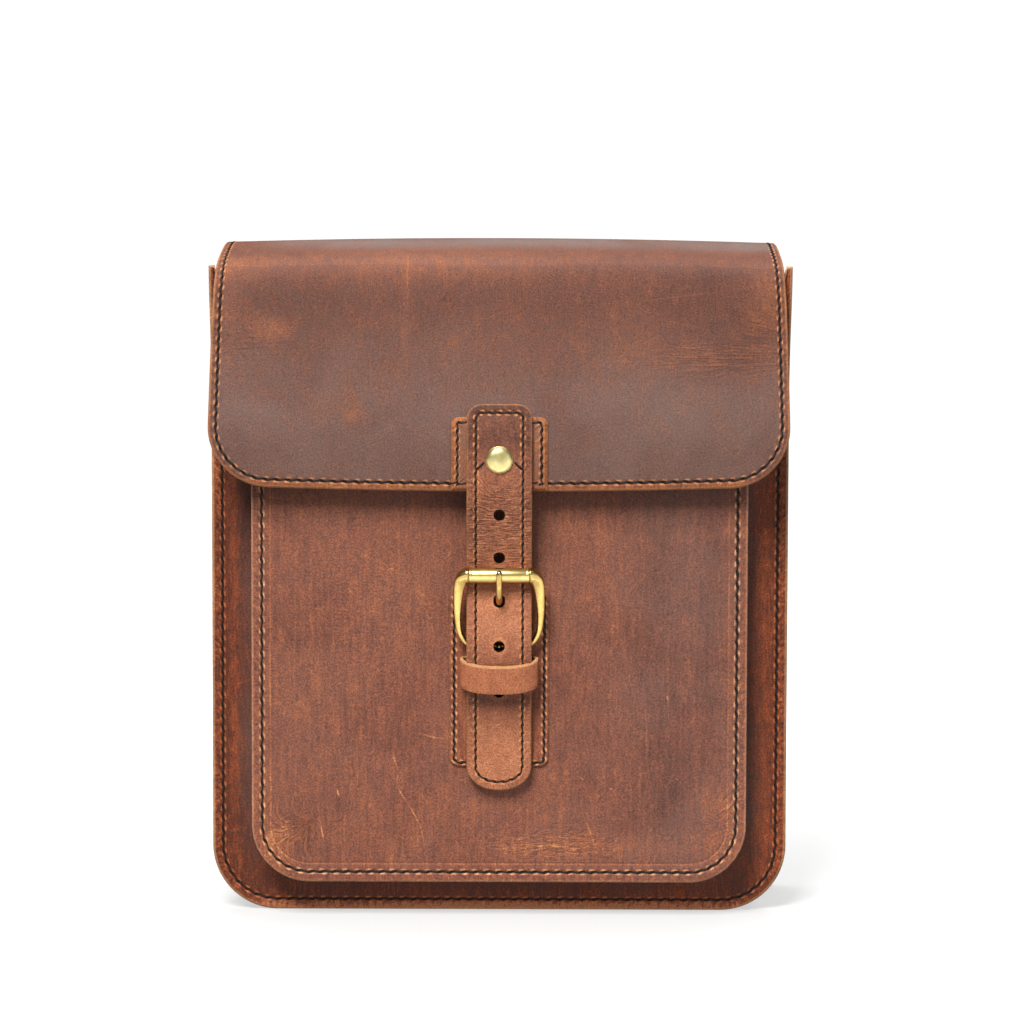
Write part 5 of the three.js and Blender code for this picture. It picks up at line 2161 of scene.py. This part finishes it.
@dataclass
class Studio:
    """White floor, soft lights and the camera of the photograph."""

    camera_stand: Point = (10.612, -1333.764, 252.142)
    camera_aim: Point = (4.76, 0.0, 158.875)
    roll_deg: float = 0.15
    focal_px: float = 3382.0
    image_px: float = 1024.0
    sensor_mm: float = 36.0
    floor_m: float = 6.0
    floor_drop: float = 0.05
    greys: tuple[tuple[float, float], ...] = ((0.0, 0.36), (0.04, 0.22), (0.6, 0.6))
    room_light: float = 0.3
    backdrop_light: float = 1.05
    lights: tuple[SoftBox, ...] = (
        SoftBox("key_light", (-400.0, -1340.0, 1600.0), (0.0, 0.0, 130.0), (600.0, 1000.0), 50.0),
        SoftBox("fill_light", (900.0, -1100.0, 260.0), (0.0, 0.0, 120.0), (900.0, 900.0), 2.6),
        SoftBox("top_light", (0.0, 450.0, 1500.0), (0.0, 30.0, 150.0), (1400.0, 800.0), 18.0),
        SoftBox("card_light", (0.0, -170.0, 10.0), (0.0, 0.0, 12.0), (460.0, 16.0), 0.09),
    )

    def floor(self, finishes: Finishes) -> None:
        """The floor: a flat grid under the bag, whose soft bounce comes from the surroundings below it.

        Args:
            finishes: The satchel's finishes.
        """
        span = np.linspace(-0.5, 0.5, 9) * self.floor_m / MM
        x, y = np.meshgrid(span, span)
        made = mesh_object("floor", [Surface(stacked(x, y, -self.floor_drop))], finishes.board)
        if made.data.polygons[0].normal.z < 0:
            made.data.flip_normals()
        made.visible_diffuse = False

    def world(self) -> None:
        """Pale surroundings: white to the camera, else a room darkest near the horizon."""
        world = bpy.data.worlds.new("studio")
        bpy.context.scene.world = world
        g = Graph(world)
        parts = g.add("SeparateXYZ", (g.add("TexCoord", out="Generated"),), "Z")
        colour = g.add("ValToRGB", (parts,))
        set_stops(colour, [(position, (grey, grey, grey, 1.0)) for position, grey in self.greys])
        seen = g.add("LightPath", out="Is Camera Ray")
        room = g.add("Background", {"Color": colour, "Strength": self.room_light})
        white = g.add("Background", {"Color": (1.0, 1.0, 1.0, 1.0), "Strength": self.backdrop_light})
        g.add("OutputWorld", {"Surface": g.add("MixShader", (seen, room, white))})

    def aimed(self, stand: Point, aim: Point, roll_deg: float = 0.0) -> Matrix:
        """Where a camera or light is that stands at one point and looks at another.

        Args:
            stand: The point where it stands.
            aim: The point that it looks at.
            roll_deg: Its turn about the line of sight.

        Returns:
            Its matrix in metres of the scene.
        """
        here, there = (Vector((x, y + FRONT_FACE, z)) * MM for x, y, z in (stand, aim))
        look = (there - here).to_track_quat("-Z", "Y").to_matrix()
        return Matrix.Translation(here) @ (look @ Matrix.Rotation(np.radians(roll_deg), 3, "Z")).to_4x4()

    def camera(self) -> None:
        """The camera at the photograph's stand, with its focal length and slight roll."""
        data = bpy.data.cameras.new("camera")
        data.sensor_width = self.sensor_mm
        data.lens = self.focal_px / self.image_px * self.sensor_mm
        data.clip_start, data.clip_end = 0.05, 50.0
        made = bpy.data.objects.new("camera", data)
        made.matrix_world = self.aimed(self.camera_stand, self.camera_aim, self.roll_deg)
        bpy.context.scene.collection.objects.link(made)
        bpy.context.scene.camera = made

    def build(self, finishes: Finishes) -> None:
        """Builds floor, surroundings, lights and camera.

        Args:
            finishes: The satchel's finishes.
        """
        bpy.context.scene.view_settings.view_transform = "Standard"
        self.camera()
        self.floor(finishes)
        self.world()
        for box in self.lights:
            data = bpy.data.lights.new(box.name, "AREA")
            data.shape, data.size, data.size_y = "RECTANGLE", box.size[0] * MM, box.size[1] * MM
            data.energy = box.watts
            made = bpy.data.objects.new(box.name, data)
            made.visible_camera = False
            made.matrix_world = self.aimed(box.stand, box.aim)
            bpy.context.scene.collection.objects.link(made)


def main() -> None:
    """Builds the studio and the satchel, and logs each assembly as it is built."""
    logging.basicConfig(level=logging.INFO, format="%(name)s %(message)s")
    finishes = Finishes.make()
    Studio().build(finishes)
    flap = Flap()
    for assembly in (Body(), Pocket(), flap, Strap(flap), Buckle()):
        assembly.build(finishes)
        LOG.info("%s is built", type(assembly).__name__)


if __name__ == "__main__":
    main()
